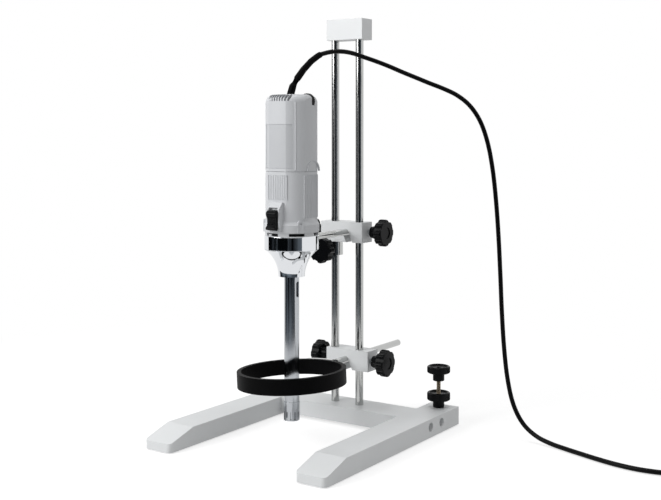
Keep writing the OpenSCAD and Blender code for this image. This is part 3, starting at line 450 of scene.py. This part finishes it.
def tie_mesh(centre, radius, angle, width, height, thick, broad):
    """A band round the coil's section: a rounded rectangle loop, turned to the given angle."""
    mesh = bpy.data.meshes.new("cord_tie")
    bm = bmesh.new()
    outline = []
    for quarter, (sx, sz) in enumerate(((1, 1), (-1, 1), (-1, -1), (1, -1))):
        for k in range(TIE_CORNER_STEPS + 1):
            a = math.radians(90 * quarter + 90 / TIE_CORNER_STEPS * k)
            outline.append((sx * (width / 2 - TIE_CORNER) + TIE_CORNER * math.cos(a),
                            sz * (height / 2 - TIE_CORNER) + TIE_CORNER * math.sin(a)))
    turn = Matrix.Rotation(angle, 3, "Z")
    rings = []
    for side in (-broad / 2, broad / 2):
        for grow in (0.0, thick):
            ring = []
            for x, z in outline:
                scale_x = 1 + grow / (width / 2)
                scale_z = 1 + grow / (height / 2)
                p = turn @ Vector((radius + x * scale_x, side, 0))
                ring.append(bm.verts.new((centre.x + p.x, centre.y + p.y,
                                          max(TIE_LOWEST, centre.z + z * scale_z))))
            rings.append(ring)
    count = len(outline)
    for a, b in ((0, 1), (1, 3), (3, 2), (2, 0)):
        for k in range(count):
            n = (k + 1) % count
            bm.faces.new((rings[a][k], rings[a][n], rings[b][n], rings[b][k]))
    bmesh.ops.recalc_face_normals(bm, faces=bm.faces)
    bm.to_mesh(mesh)
    bm.free()
    return mesh


# ---------- rounded edges ----------

# Node: (body, slot, edge radius); the machined blocks have small broken edges
SOFT_EDGES = {
    "left_leg": ("base", "anodised", 0.7 * MM),
    "right_leg": ("base", "anodised", 0.7 * MM),
    "crossbar": ("base", "anodised", 0.4 * MM),
    "top_block": ("base", "anodised", 0.6 * MM),
    "upper_block": ("upper_head", "anodised", 0.5 * MM),
    "lower_block": ("lower_head", "anodised", 0.5 * MM),
    "holder_strap": ("vessel_holder", "rubber_black", 1.0 * MM),
}
SHARP = math.radians(28)     # edges sharper than this are rounded
LEVEL = math.radians(0.5)    # faces that meet under this angle are one flat face
LARGE_FACE = 60 * MM ** 2    # a flat face of this area keeps its flat shading
SAME = 0.002 * MM            # points this near are one point
NEAR = 0.1 * MM              # places this near are lined up
TOE_HIGH = 2 * MM            # an upright edge of a toe is longer than this
RIM_REACH = 0.3 * MM         # the strap's outer edges lie this near its largest radius


def toe_edges(bm, low, high):
    """The two upright edges at the front of a leg."""
    return [e for e in bm.edges if all(v.co.y < low.y + NEAR for v in e.verts)
            and abs(e.verts[0].co.x - e.verts[1].co.x) < NEAR
            and abs(e.verts[0].co.z - e.verts[1].co.z) > TOE_HIGH]


def strap_rims(bm, low, high):
    """The outer edges round the top and the bottom of the strap."""
    middle, reach = (low.xy + high.xy) / 2, (high.x - low.x) / 2
    return [e for e in bm.edges if abs(e.verts[0].co.z - e.verts[1].co.z) < NEAR / 2
            and any(min(v.co.z - low.z, high.z - v.co.z) < SAME for v in e.verts)
            and all((v.co.xy - middle).length > reach - RIM_REACH for v in e.verts)]


# Node: (its broadly rounded edges, the setting that holds their radius)
BROAD_EDGES = {"left_leg": (toe_edges, "toe_round"), "right_leg": (toe_edges, "toe_round"),
               "holder_strap": (strap_rims, "strap_round")}


def softened(name, maker):
    """The node's own solid with its edges rounded, shown in the node's place."""
    body, slot, radius = SOFT_EDGES[name]
    low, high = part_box(name)
    bm = bmesh.new()
    bm.from_mesh(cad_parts[name].data)
    bmesh.ops.remove_doubles(bm, verts=bm.verts, dist=SAME)
    bmesh.ops.dissolve_limit(bm, verts=bm.verts, edges=bm.edges, angle_limit=LEVEL)
    if name in BROAD_EDGES:
        pick, size = BROAD_EDGES[name]
        bmesh.ops.bevel(bm, geom=pick(bm, low, high), offset=getattr(settings(), size),
                        segments=6, profile=0.5, affect="EDGES", clamp_overlap=True)
    edges = [e for e in bm.edges if len(e.link_faces) == 2 and e.calc_face_angle(0) > SHARP]
    bmesh.ops.bevel(bm, geom=edges, offset=radius, segments=2, profile=0.5, affect="EDGES",
                    clamp_overlap=True)
    for face in bm.faces:
        face.smooth = face.calc_area() < LARGE_FACE
    for edge in bm.edges:
        edge.smooth = len(edge.link_faces) != 2 or edge.calc_face_angle(0) < SHARP
    mesh = bpy.data.meshes.new(name + "_soft_edges")
    bm.to_mesh(mesh)
    bm.free()
    piece = mesh_piece(mesh.name, mesh, maker, body)
    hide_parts(name)
    return piece


# ---------- levelling knobs ----------

# Node: (body, how far the turned knob's top stands over the node's, height of its hub)
TURNED_KNOBS = {"leveling_knob": ("leveling_screw", 2.2 * MM, 11 * MM),
                "lock_knob": ("lock_ring", 1.2 * MM, 10 * MM)}
RIM_LOBES = 48               # knurls round a rim
RIM_STEPS = 4 * RIM_LOBES
KNURL_DEEP = 0.44 * MM
HUB_RADIUS = 8.5 * MM
STUD_HOLE = 3.4 * MM         # radius of the hole for the levelling stud
DISH_DEEP = 2.6 * MM


def knob_profile(low, high, hub_high):
    """Radius, height and knurl share from the hub's bore up over the rim into the dish."""
    rim = settings().knob_radius
    return [(STUD_HOLE, low, 0), (HUB_RADIUS - 0.6 * MM, low, 0), (HUB_RADIUS, low + 0.6 * MM, 0),
            (HUB_RADIUS, hub_high, 0), (rim - 2 * MM, hub_high + 0.3 * MM, 0),
            (rim - 0.5 * MM, hub_high + 1.2 * MM, 0.5), (rim, hub_high + 2.4 * MM, 1),
            (rim, high - 2 * MM, 1), (rim - 0.6 * MM, high - 0.7 * MM, 0.5),
            (rim - 2 * MM, high, 0), (rim - 3.4 * MM, high - 0.4 * MM, 0),
            (rim - 4.4 * MM, high - 2.2 * MM, 0), (HUB_RADIUS, high - DISH_DEEP, 0),
            (STUD_HOLE, high - DISH_DEEP, 0)]


def lathe_mesh(name, profile, centre):
    """The profile turned round an upright axis, its rim cut with knurls."""
    points, faces = [], []
    for radius, height, share in profile:
        for k in range(RIM_STEPS):
            angle = 2 * math.pi * k / RIM_STEPS
            cut = radius - share * KNURL_DEEP / 2 * (1 + math.cos(RIM_LOBES * angle))
            points.append((centre.x + cut * math.cos(angle), centre.y + cut * math.sin(angle),
                           height))
    rows = len(profile)
    for n in range(rows):
        a, b = n * RIM_STEPS, (n + 1) % rows * RIM_STEPS
        faces += [(a + k, a + (k + 1) % RIM_STEPS, b + (k + 1) % RIM_STEPS, b + k)
                  for k in range(RIM_STEPS)]
    mesh = bpy.data.meshes.new(name)
    mesh.from_pydata(points, [], faces)
    return mesh


# ---------- motor trim ----------

VENT_COUNT, VENT_PITCH, VENT_WIDTH = 9, 4.2 * MM, 2 * MM
VENT_ARC = (8, 70)       # degrees up the shoulder, from the slots' lower ends to their upper ones
VENT_STEPS = 14
VENT_PINCH = 0.5         # share of the width at the slots' ends
SKIN = 0.1 * MM          # how far trim lies in front of the face that carries it
SHOULDER = 11 * MM       # radius of the housing's top edge
CROWN = 90 * MM          # radius of its crowned faces

SLIDE_SIZE = (17 * MM, 28 * MM)    # across and high
SLIDE_STEPS = 90
SLIDE_FLAT = 2.2 * MM    # how far the slide stands out between its bulges
# How far each bulge stands out, its place and its width on a height from -1 to 1
SLIDE_BULGES = ((3.6 * MM, 0.62, 0.30), (4.4 * MM, -0.78, 0.22))
SLIDE_RIDGES = 5
RIDGE_HIGH = 0.55 * MM
RIDGE_SPAN = (-0.45, 0.35)
RIDGE_REACH = 0.45       # the stretch that holds SLIDE_RIDGES half waves
SLIDE_EDGE = 0.09        # rounded share of the height at the slide's two ends
SLIDE_CORNER = (0.2, 0.12)    # share of the height over which it narrows, and by how much
# Place across and share of the depth, from the slide's left edge to its right one
SLIDE_SECTION = ((-1, 0), (-1, 0.7), (-0.96, 0.9), (-0.88, 1), (0.88, 1), (0.96, 0.9), (1, 0.7),
                 (1, 0))
STEM_HALF = (6 * MM, 11 * MM)      # half width and half height of the stem behind the slide
STEM_DEEP = 3.5 * MM


def shoulder_point(off, angle):
    """Point on the housing's front shoulder, off the middle, at an angle up the round."""
    top = MOTOR_BOX[1].z
    drum = DRUM_OUT - SHOULDER + SHOULDER * math.cos(angle)
    crown = math.sqrt(CROWN ** 2 - off ** 2) - CROWN + FACE_OUT
    face = min(crown, math.sqrt(drum ** 2 - off ** 2))
    return (MOTOR_AXIS.x + off, MOTOR_AXIS.y - face - SKIN,
            top - SHOULDER + (SHOULDER + SKIN) * math.sin(angle))


def vent_shade_mesh():
    """Strips of painted shade where the vent slots are, following the shoulder from the front face to
    the top.
    """
    mesh = bpy.data.meshes.new("vent_slots")
    points, faces = [], []
    for k in range(VENT_COUNT):
        off = (k - (VENT_COUNT - 1) / 2) * VENT_PITCH
        first = len(points)
        for n in range(VENT_STEPS + 1):
            angle = math.radians(VENT_ARC[0] + (VENT_ARC[1] - VENT_ARC[0]) * n / VENT_STEPS)
            pinch = VENT_PINCH if n in (0, VENT_STEPS) else 1.0
            for side in (-pinch, pinch):
                points.append(shoulder_point(off + side * VENT_WIDTH / 2, angle))
        faces += [(first + 2 * n, first + 2 * n + 1, first + 2 * n + 3, first + 2 * n + 2)
                  for n in range(VENT_STEPS)]
    mesh.from_pydata(points, [], faces)
    return mesh


def slide_depth(at):
    """How far the slide's face stands out, for a height from -1 to 1: two bulges and ridges."""
    bulge = max(out * math.exp(-((at - place) / width) ** 2) for out, place, width in SLIDE_BULGES)
    ridge = 0
    if RIDGE_SPAN[0] < at < RIDGE_SPAN[1]:
        ridge = RIDGE_HIGH * math.sin(math.pi * SLIDE_RIDGES * (at - RIDGE_SPAN[0]) / RIDGE_REACH)
    edge = min(1.0, (1 - abs(at)) / SLIDE_EDGE) ** 0.5
    return (SLIDE_FLAT + bulge + ridge) * edge


def slide_mesh():
    """The switch's slide: ridged and hollow at the middle, with a proud lower lip."""
    low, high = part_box("switch_rocker")
    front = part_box("switch_surround")[0].y
    middle = (low + high) / 2
    half_w, half_h = SLIDE_SIZE[0] / 2, SLIDE_SIZE[1] / 2
    mesh = bpy.data.meshes.new("ridged_slide")
    points, faces = [], []
    for n in range(SLIDE_STEPS + 1):
        at = 2 * n / SLIDE_STEPS - 1
        deep = slide_depth(at)
        narrow = max(0.0, abs(at) - (1 - SLIDE_CORNER[0])) / SLIDE_CORNER[0]
        across = half_w * (1 - SLIDE_CORNER[1] * narrow)
        points += [(middle.x + x * across, front - SKIN - deep * share, middle.z + at * half_h)
                   for x, share in SLIDE_SECTION]
    ring = len(SLIDE_SECTION)
    for n in range(SLIDE_STEPS):
        faces += [(ring * n + k, ring * n + (k + 1) % ring, ring * (n + 1) + (k + 1) % ring,
                   ring * (n + 1) + k) for k in range(ring)]
    faces += [tuple(range(ring)), tuple(range(ring * SLIDE_STEPS, ring * (SLIDE_STEPS + 1)))]
    first = len(points)
    points += [(middle.x + sx * STEM_HALF[0], y, middle.z + sz * STEM_HALF[1])
               for y in (front - SKIN, front + STEM_DEEP)
               for sx, sz in ((-1, -1), (1, -1), (1, 1), (-1, 1))]
    faces += [tuple(first + v for v in face) for face in
              ((0, 1, 2, 3), (4, 5, 6, 7), (0, 1, 5, 4), (1, 2, 6, 5), (2, 3, 7, 6), (3, 0, 4, 7))]
    mesh.from_pydata(points, [], faces)
    return mesh


# ---------- settings ----------

class HomogenizerSettings(bpy.types.PropertyGroup):
    cord_diameter: FloatProperty(name="Cord diameter", description="Outer diameter of the mains cord",
                                 default=6.5 * MM, min=4 * MM, max=10 * MM, unit="LENGTH")
    toe_round: FloatProperty(name="Toe corners", description="Radius of the legs' front corners",
                             default=7 * MM, min=1 * MM, max=12 * MM, unit="LENGTH")
    strap_round: FloatProperty(name="Strap edges", description="Radius of the strap's outer edges",
                               default=4.5 * MM, min=1 * MM, max=6 * MM, unit="LENGTH")
    knob_radius: FloatProperty(name="Levelling knobs", description="Radius of the levelling knobs",
                               default=17 * MM, min=14 * MM, max=20 * MM, unit="LENGTH")
    stand_colour: FloatVectorProperty(name="Stand", description="Colour of the anodised blocks and legs",
                                      default=linear("#e3e5e6")[:3], min=0, max=1, subtype="COLOR")
    housing_colour: FloatVectorProperty(name="Housing", description="Colour of the motor's housing",
                                        default=linear("#d0d2d5")[:3], min=0, max=1,
                                        subtype="COLOR")
    knob_colour: FloatVectorProperty(name="Knobs", description="Colour of the nylon knobs",
                                     default=linear("#07080a")[:3], min=0, max=1, subtype="COLOR")
    key_power: FloatProperty(name="Key lamp", description="Power of the lamp at the front left",
                             default=31.0, min=0, unit="POWER")
    fill_power: FloatProperty(name="Top lamp", description="Power of the lamp above",
                              default=9.0, min=0, unit="POWER")


# ---------- operators ----------

class HOMOGENIZER_OT_finishes(bpy.types.Operator):
    """Give every CAD node its finish"""
    bl_idname = "homogenizer.finishes"
    bl_label = "Finishes"

    def execute(self, context):
        for maker, nodes in FINISHES.items():
            for name in nodes:
                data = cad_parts[name].data
                data.materials.clear()
                data.materials.append(material(maker))
        return {"FINISHED"}


class HOMOGENIZER_OT_soft_edges(bpy.types.Operator):
    """Round the edges of the machined blocks, the legs' toes and the strap"""
    bl_idname = "homogenizer.soft_edges"
    bl_label = "Soft edges"

    def execute(self, context):
        for name in SOFT_EDGES:
            maker = next(m for m, nodes in FINISHES.items() if name in nodes)
            softened(name, maker)
        return {"FINISHED"}


class HOMOGENIZER_OT_levelling_knobs(bpy.types.Operator):
    """Turn the two levelling knobs with dished tops and knurled rims"""
    bl_idname = "homogenizer.levelling_knobs"
    bl_label = "Levelling knobs"

    def execute(self, context):
        for name, (body, rise, hub) in TURNED_KNOBS.items():
            low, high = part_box(name)
            centre = (low + high) / 2
            mesh = lathe_mesh(name + "_turned",
                              knob_profile(low.z, high.z + rise, low.z + hub), centre)
            piece = mesh_piece(mesh.name, mesh, moulded_knob_nylon, body)
            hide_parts(name)
        return {"FINISHED"}


class HOMOGENIZER_OT_motor_trim(bpy.types.Operator):
    """Add strips of painted shade where the vent slots are, and the switch's ridged slide"""
    bl_idname = "homogenizer.motor_trim"
    bl_label = "Motor trim"

    def execute(self, context):
        # painted shade: dark strips laid just over the housing stand in for the vent slots' shaded
        # insides
        vent_shade = mesh_piece("vent_slots", vent_shade_mesh(), shadowed_slot, "arm")
        slide = mesh_piece("switch_slide", slide_mesh(), moulded_knob_nylon, "switch")
        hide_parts("switch_rocker")
        return {"FINISHED"}


class HOMOGENIZER_OT_cord(bpy.types.Operator):
    """Lay the mains cord from the strain relief to the plug"""
    bl_idname = "homogenizer.cord"
    bl_label = "Mains cord"

    def execute(self, context):
        diameter = settings().cord_diameter
        route = smooth([Vector(p) * MM for p in CORD_ROUTE], CORD_STEPS)
        points = route + coil_points(diameter)
        points.append(points[-1] + Vector((0, -INTO_SLEEVE, 0)))
        cord = curve_piece("mains_cord", points, diameter / 2, extruded_cord_sheath, "arm")
        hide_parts("cord", "cord_coil")
        low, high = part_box("cord_coil")
        centre = (low + high) / 2
        radius = (high.x - low.x) / 2 - COIL_RINGS / 2 * diameter
        band = tie_mesh(centre, radius, TIE_AT, (COIL_RINGS + TIE_ROOM) * diameter,
                        high.z - low.z + TIE_LOOSE, TIE_THICK, TIE_BROAD)
        tie = mesh_piece("cord_tie", band, moulded_knob_nylon, "arm")
        return {"FINISHED"}


class HOMOGENIZER_OT_stage(bpy.types.Operator):
    """Set the floor, lamps, world and camera"""
    bl_idname = "homogenizer.stage"
    bl_label = "Stage"

    def execute(self, context):
        make_floor()
        make_card()
        make_world()
        make_lamps()
        make_camera(context.scene)
        context.scene.view_settings.view_transform = "Standard"
        return {"FINISHED"}


# ---------- stage ----------

CAMERA_SPOT = (0.8895, -1.2958, 0.4379)    # m
CAMERA_AZIMUTH = 34.03       # degrees, from straight ahead towards the right
CAMERA_PITCH = 1.16          # degrees down
FOCAL_PIXELS = 1088.2
PICTURE_WIDTH = 661
CAMERA_SHIFT = -0.15

FLOOR_SIZE = (12, 12)
FLOOR_DROP = 0.5 * MM        # keeps the floor just under the feet
FLOOR_FADE = (0.45, 0.95)    # m from the middle, over which the floor turns pure white
FLOOR_LIFT = 0.62            # light that the floor adds for the camera
CARD_ARC = (-166, -8)        # degrees, from +X
CARD_RADII = (0.75, 2.4)     # the card lies on the floor between these, then stands up
CARD_HIGH = 1.7              # m
CARD_STREAKS = 0.6             # painted light and shade: streaks on the dark cloth, per metre
CARD_STEPS = 24
WORLD_SOFT = 0.42            # light from all round

LAMPS_AIM = (0, -0.05, 0.28)
KEY_SPOT, KEY_SIZE = (-1.0, -1.8, 1.2), (1.2, 1.2)
TOP_SPOT, TOP_SIZE = (0.1, 0.1, 2.2), (1.6, 1.2)


def seen_as(tree, white, real):
    """White to the camera and in mirrors and glass, the real shader to everything else."""
    rays = add(tree, "ShaderNodeLightPath").outputs
    glossy = add(tree, "ShaderNodeMath", {"operation": "MAXIMUM"}, in0=rays["Is Camera Ray"],
                 in1=rays["Is Glossy Ray"]).outputs[0]
    factor = add(tree, "ShaderNodeMath", {"operation": "MAXIMUM"}, in0=glossy,
                 in1=rays["Is Transmission Ray"]).outputs[0]
    return add(tree, "ShaderNodeMixShader", in0=factor, in1=real, in2=white).outputs[0]


def plane(name, size, spot):
    """A level sheet of the stage."""
    mesh = bpy.data.meshes.new(name)
    x, y = size[0] / 2, size[1] / 2
    mesh.from_pydata([(-x, -y, 0), (x, -y, 0), (x, y, 0), (-x, y, 0)], [], [(0, 1, 2, 3)])
    made = bpy.data.objects.new(name, mesh)
    bpy.context.collection.objects.link(made)
    made.location = spot
    return made


def make_floor():
    """White studio floor: white to the camera and in mirrors, with only a soft shadow."""
    mat, tree, bsdf = new_material("white_studio_floor")
    tree.nodes.remove(bsdf)
    place = add(tree, "ShaderNodeTexCoord").outputs["Object"]
    away = add(tree, "ShaderNodeVectorMath", {"operation": "LENGTH"}, in0=place).outputs["Value"]
    far = add(tree, "ShaderNodeMapRange", in0=away, in1=FLOOR_FADE[0], in2=FLOOR_FADE[1])
    matt = add(tree, "ShaderNodeBsdfDiffuse", Color=linear("#c8c8c8"))
    lift = add(tree, "ShaderNodeEmission", Color=(1, 1, 1, 1), Strength=FLOOR_LIFT)
    white = add(tree, "ShaderNodeEmission", Color=(1, 1, 1, 1), Strength=1.0)
    near = add(tree, "ShaderNodeAddShader", in0=matt.outputs[0], in1=lift.outputs[0])
    seen = add(tree, "ShaderNodeMixShader", in0=far.outputs[0], in1=near.outputs[0],
               in2=white.outputs[0])
    rays = add(tree, "ShaderNodeLightPath").outputs
    real = add(tree, "ShaderNodeMixShader", in0=rays["Is Camera Ray"], in1=matt.outputs[0],
               in2=seen.outputs[0])
    bounced = add(tree, "ShaderNodeMath", {"operation": "MAXIMUM"}, in0=rays["Is Glossy Ray"],
                  in1=rays["Is Transmission Ray"])
    mirrored = add(tree, "ShaderNodeMixShader", in0=bounced.outputs[0], in1=real.outputs[0],
                   in2=white.outputs[0])
    tree.links.new(mirrored.outputs[0], tree.nodes["Material Output"].inputs["Surface"])
    floor = plane("floor", FLOOR_SIZE, (0, 0, -FLOOR_DROP))
    floor.data.materials.append(mat)


def make_card():
    """A dark curved card round the front that only mirrors see, for dark bands in bright metal."""
    mat, tree, bsdf = new_material("black_studio_card")
    flat = add(tree, "ShaderNodeMapping", in0=add(tree, "ShaderNodeTexCoord").outputs["Object"],
               in3=(1, 1, 0.05)).outputs["Vector"]
    # painted light and shade: the card goes from near black to light grey in streaks, which the metal
    # mirrors as lighter and darker bands
    streaks = add(tree, "ShaderNodeTexNoise", in0=flat, Scale=CARD_STREAKS, Detail=3.0)
    tree.links.new(ramp(tree, streaks.outputs["Fac"], linear("#0b0e10"), linear("#8d97a1"),
                        0.47, 0.75), bsdf.inputs["Base Color"])
    bsdf.inputs["Roughness"].default_value = 1.0
    bsdf.inputs["Specular IOR Level"].default_value = 0.0
    points = []
    for k in range(CARD_STEPS + 1):
        angle = math.radians(CARD_ARC[0] + (CARD_ARC[1] - CARD_ARC[0]) * k / CARD_STEPS)
        x, y = math.cos(angle), math.sin(angle)
        points += [(CARD_RADII[0] * x, CARD_RADII[0] * y, MM),
                   (CARD_RADII[1] * x, CARD_RADII[1] * y, MM),
                   (CARD_RADII[1] * x, CARD_RADII[1] * y, CARD_HIGH)]
    faces = [(3 * k + n, 3 * k + 3 + n, 3 * k + 4 + n, 3 * k + 1 + n)
             for k in range(CARD_STEPS) for n in (0, 1)]
    mesh = bpy.data.meshes.new("card_front")
    mesh.from_pydata(points, [], faces)
    mesh.materials.append(mat)
    card = bpy.data.objects.new("card_front", mesh)
    bpy.context.collection.objects.link(card)
    card.visible_camera = False
    card.visible_diffuse = False
    card.visible_shadow = False


def make_world():
    """Soft light from all round, before a white background."""
    world = bpy.data.worlds.new("studio")
    bpy.context.scene.world = world
    world.use_nodes = True
    tree = world.node_tree
    tree.nodes.clear()
    soft = add(tree, "ShaderNodeBackground", Color=(1, 1, 1, 1), Strength=WORLD_SOFT)
    white = add(tree, "ShaderNodeBackground", Color=(1, 1, 1, 1), Strength=1.0)
    add(tree, "ShaderNodeOutputWorld",
        in0=seen_as(tree, white.outputs[0], soft.outputs[0]))


def lamp(name, size, power, spot, target):
    """A rectangular lamp that faces the target."""
    data = bpy.data.lights.new(name, "AREA")
    data.shape = "RECTANGLE"
    data.size, data.size_y = size
    data.energy = power
    made = bpy.data.objects.new(name, data)
    bpy.context.collection.objects.link(made)
    made.location = spot
    made.rotation_euler = (Vector(target) - Vector(spot)).to_track_quat("-Z", "Y").to_euler()
    return made


def make_lamps():
    """A large lamp at the front left and a soft one above."""
    lamp("key_front_left", KEY_SIZE, settings().key_power, KEY_SPOT, LAMPS_AIM)
    lamp("top_soft", TOP_SIZE, settings().fill_power, TOP_SPOT, LAMPS_AIM)


def make_camera(scene):
    """The camera, at the front right and nearly level."""
    data = bpy.data.cameras.new("camera")
    data.sensor_width = 36
    data.lens = FOCAL_PIXELS / PICTURE_WIDTH * data.sensor_width
    data.shift_y = CAMERA_SHIFT
    data.clip_end = 50
    made = bpy.data.objects.new("camera", data)
    bpy.context.collection.objects.link(made)
    made.location = CAMERA_SPOT
    made.rotation_euler = (math.radians(90 - CAMERA_PITCH), 0, math.radians(CAMERA_AZIMUTH))
    scene.camera = made


# ---------- panel and registration ----------

class HOMOGENIZER_PT_panel(bpy.types.Panel):
    """Lists the steps that dress the homogenizer"""
    bl_idname = "HOMOGENIZER_PT_panel"
    bl_label = "Homogenizer"
    bl_space_type = "VIEW_3D"
    bl_region_type = "UI"
    bl_category = "Homogenizer"

    def draw(self, context):
        for name in HomogenizerSettings.__annotations__:
            self.layout.prop(context.scene.homogenizer, name)
        for step in STEPS:
            self.layout.operator(step.bl_idname)


STEPS = (HOMOGENIZER_OT_finishes, HOMOGENIZER_OT_soft_edges, HOMOGENIZER_OT_levelling_knobs,
         HOMOGENIZER_OT_motor_trim, HOMOGENIZER_OT_cord, HOMOGENIZER_OT_stage)
CLASSES = (HomogenizerSettings,) + STEPS + (HOMOGENIZER_PT_panel,)


def register():
    for item in CLASSES:
        bpy.utils.register_class(item)
    bpy.types.Scene.homogenizer = PointerProperty(type=HomogenizerSettings)


def unregister():
    del bpy.types.Scene.homogenizer
    for item in reversed(CLASSES):
        bpy.utils.unregister_class(item)


def main():
    register()
    bpy.ops.homogenizer.finishes()
    bpy.ops.homogenizer.soft_edges()
    bpy.ops.homogenizer.levelling_knobs()
    bpy.ops.homogenizer.motor_trim()
    bpy.ops.homogenizer.cord()
    bpy.ops.homogenizer.stage()


if __name__ == "__main__":
    main()
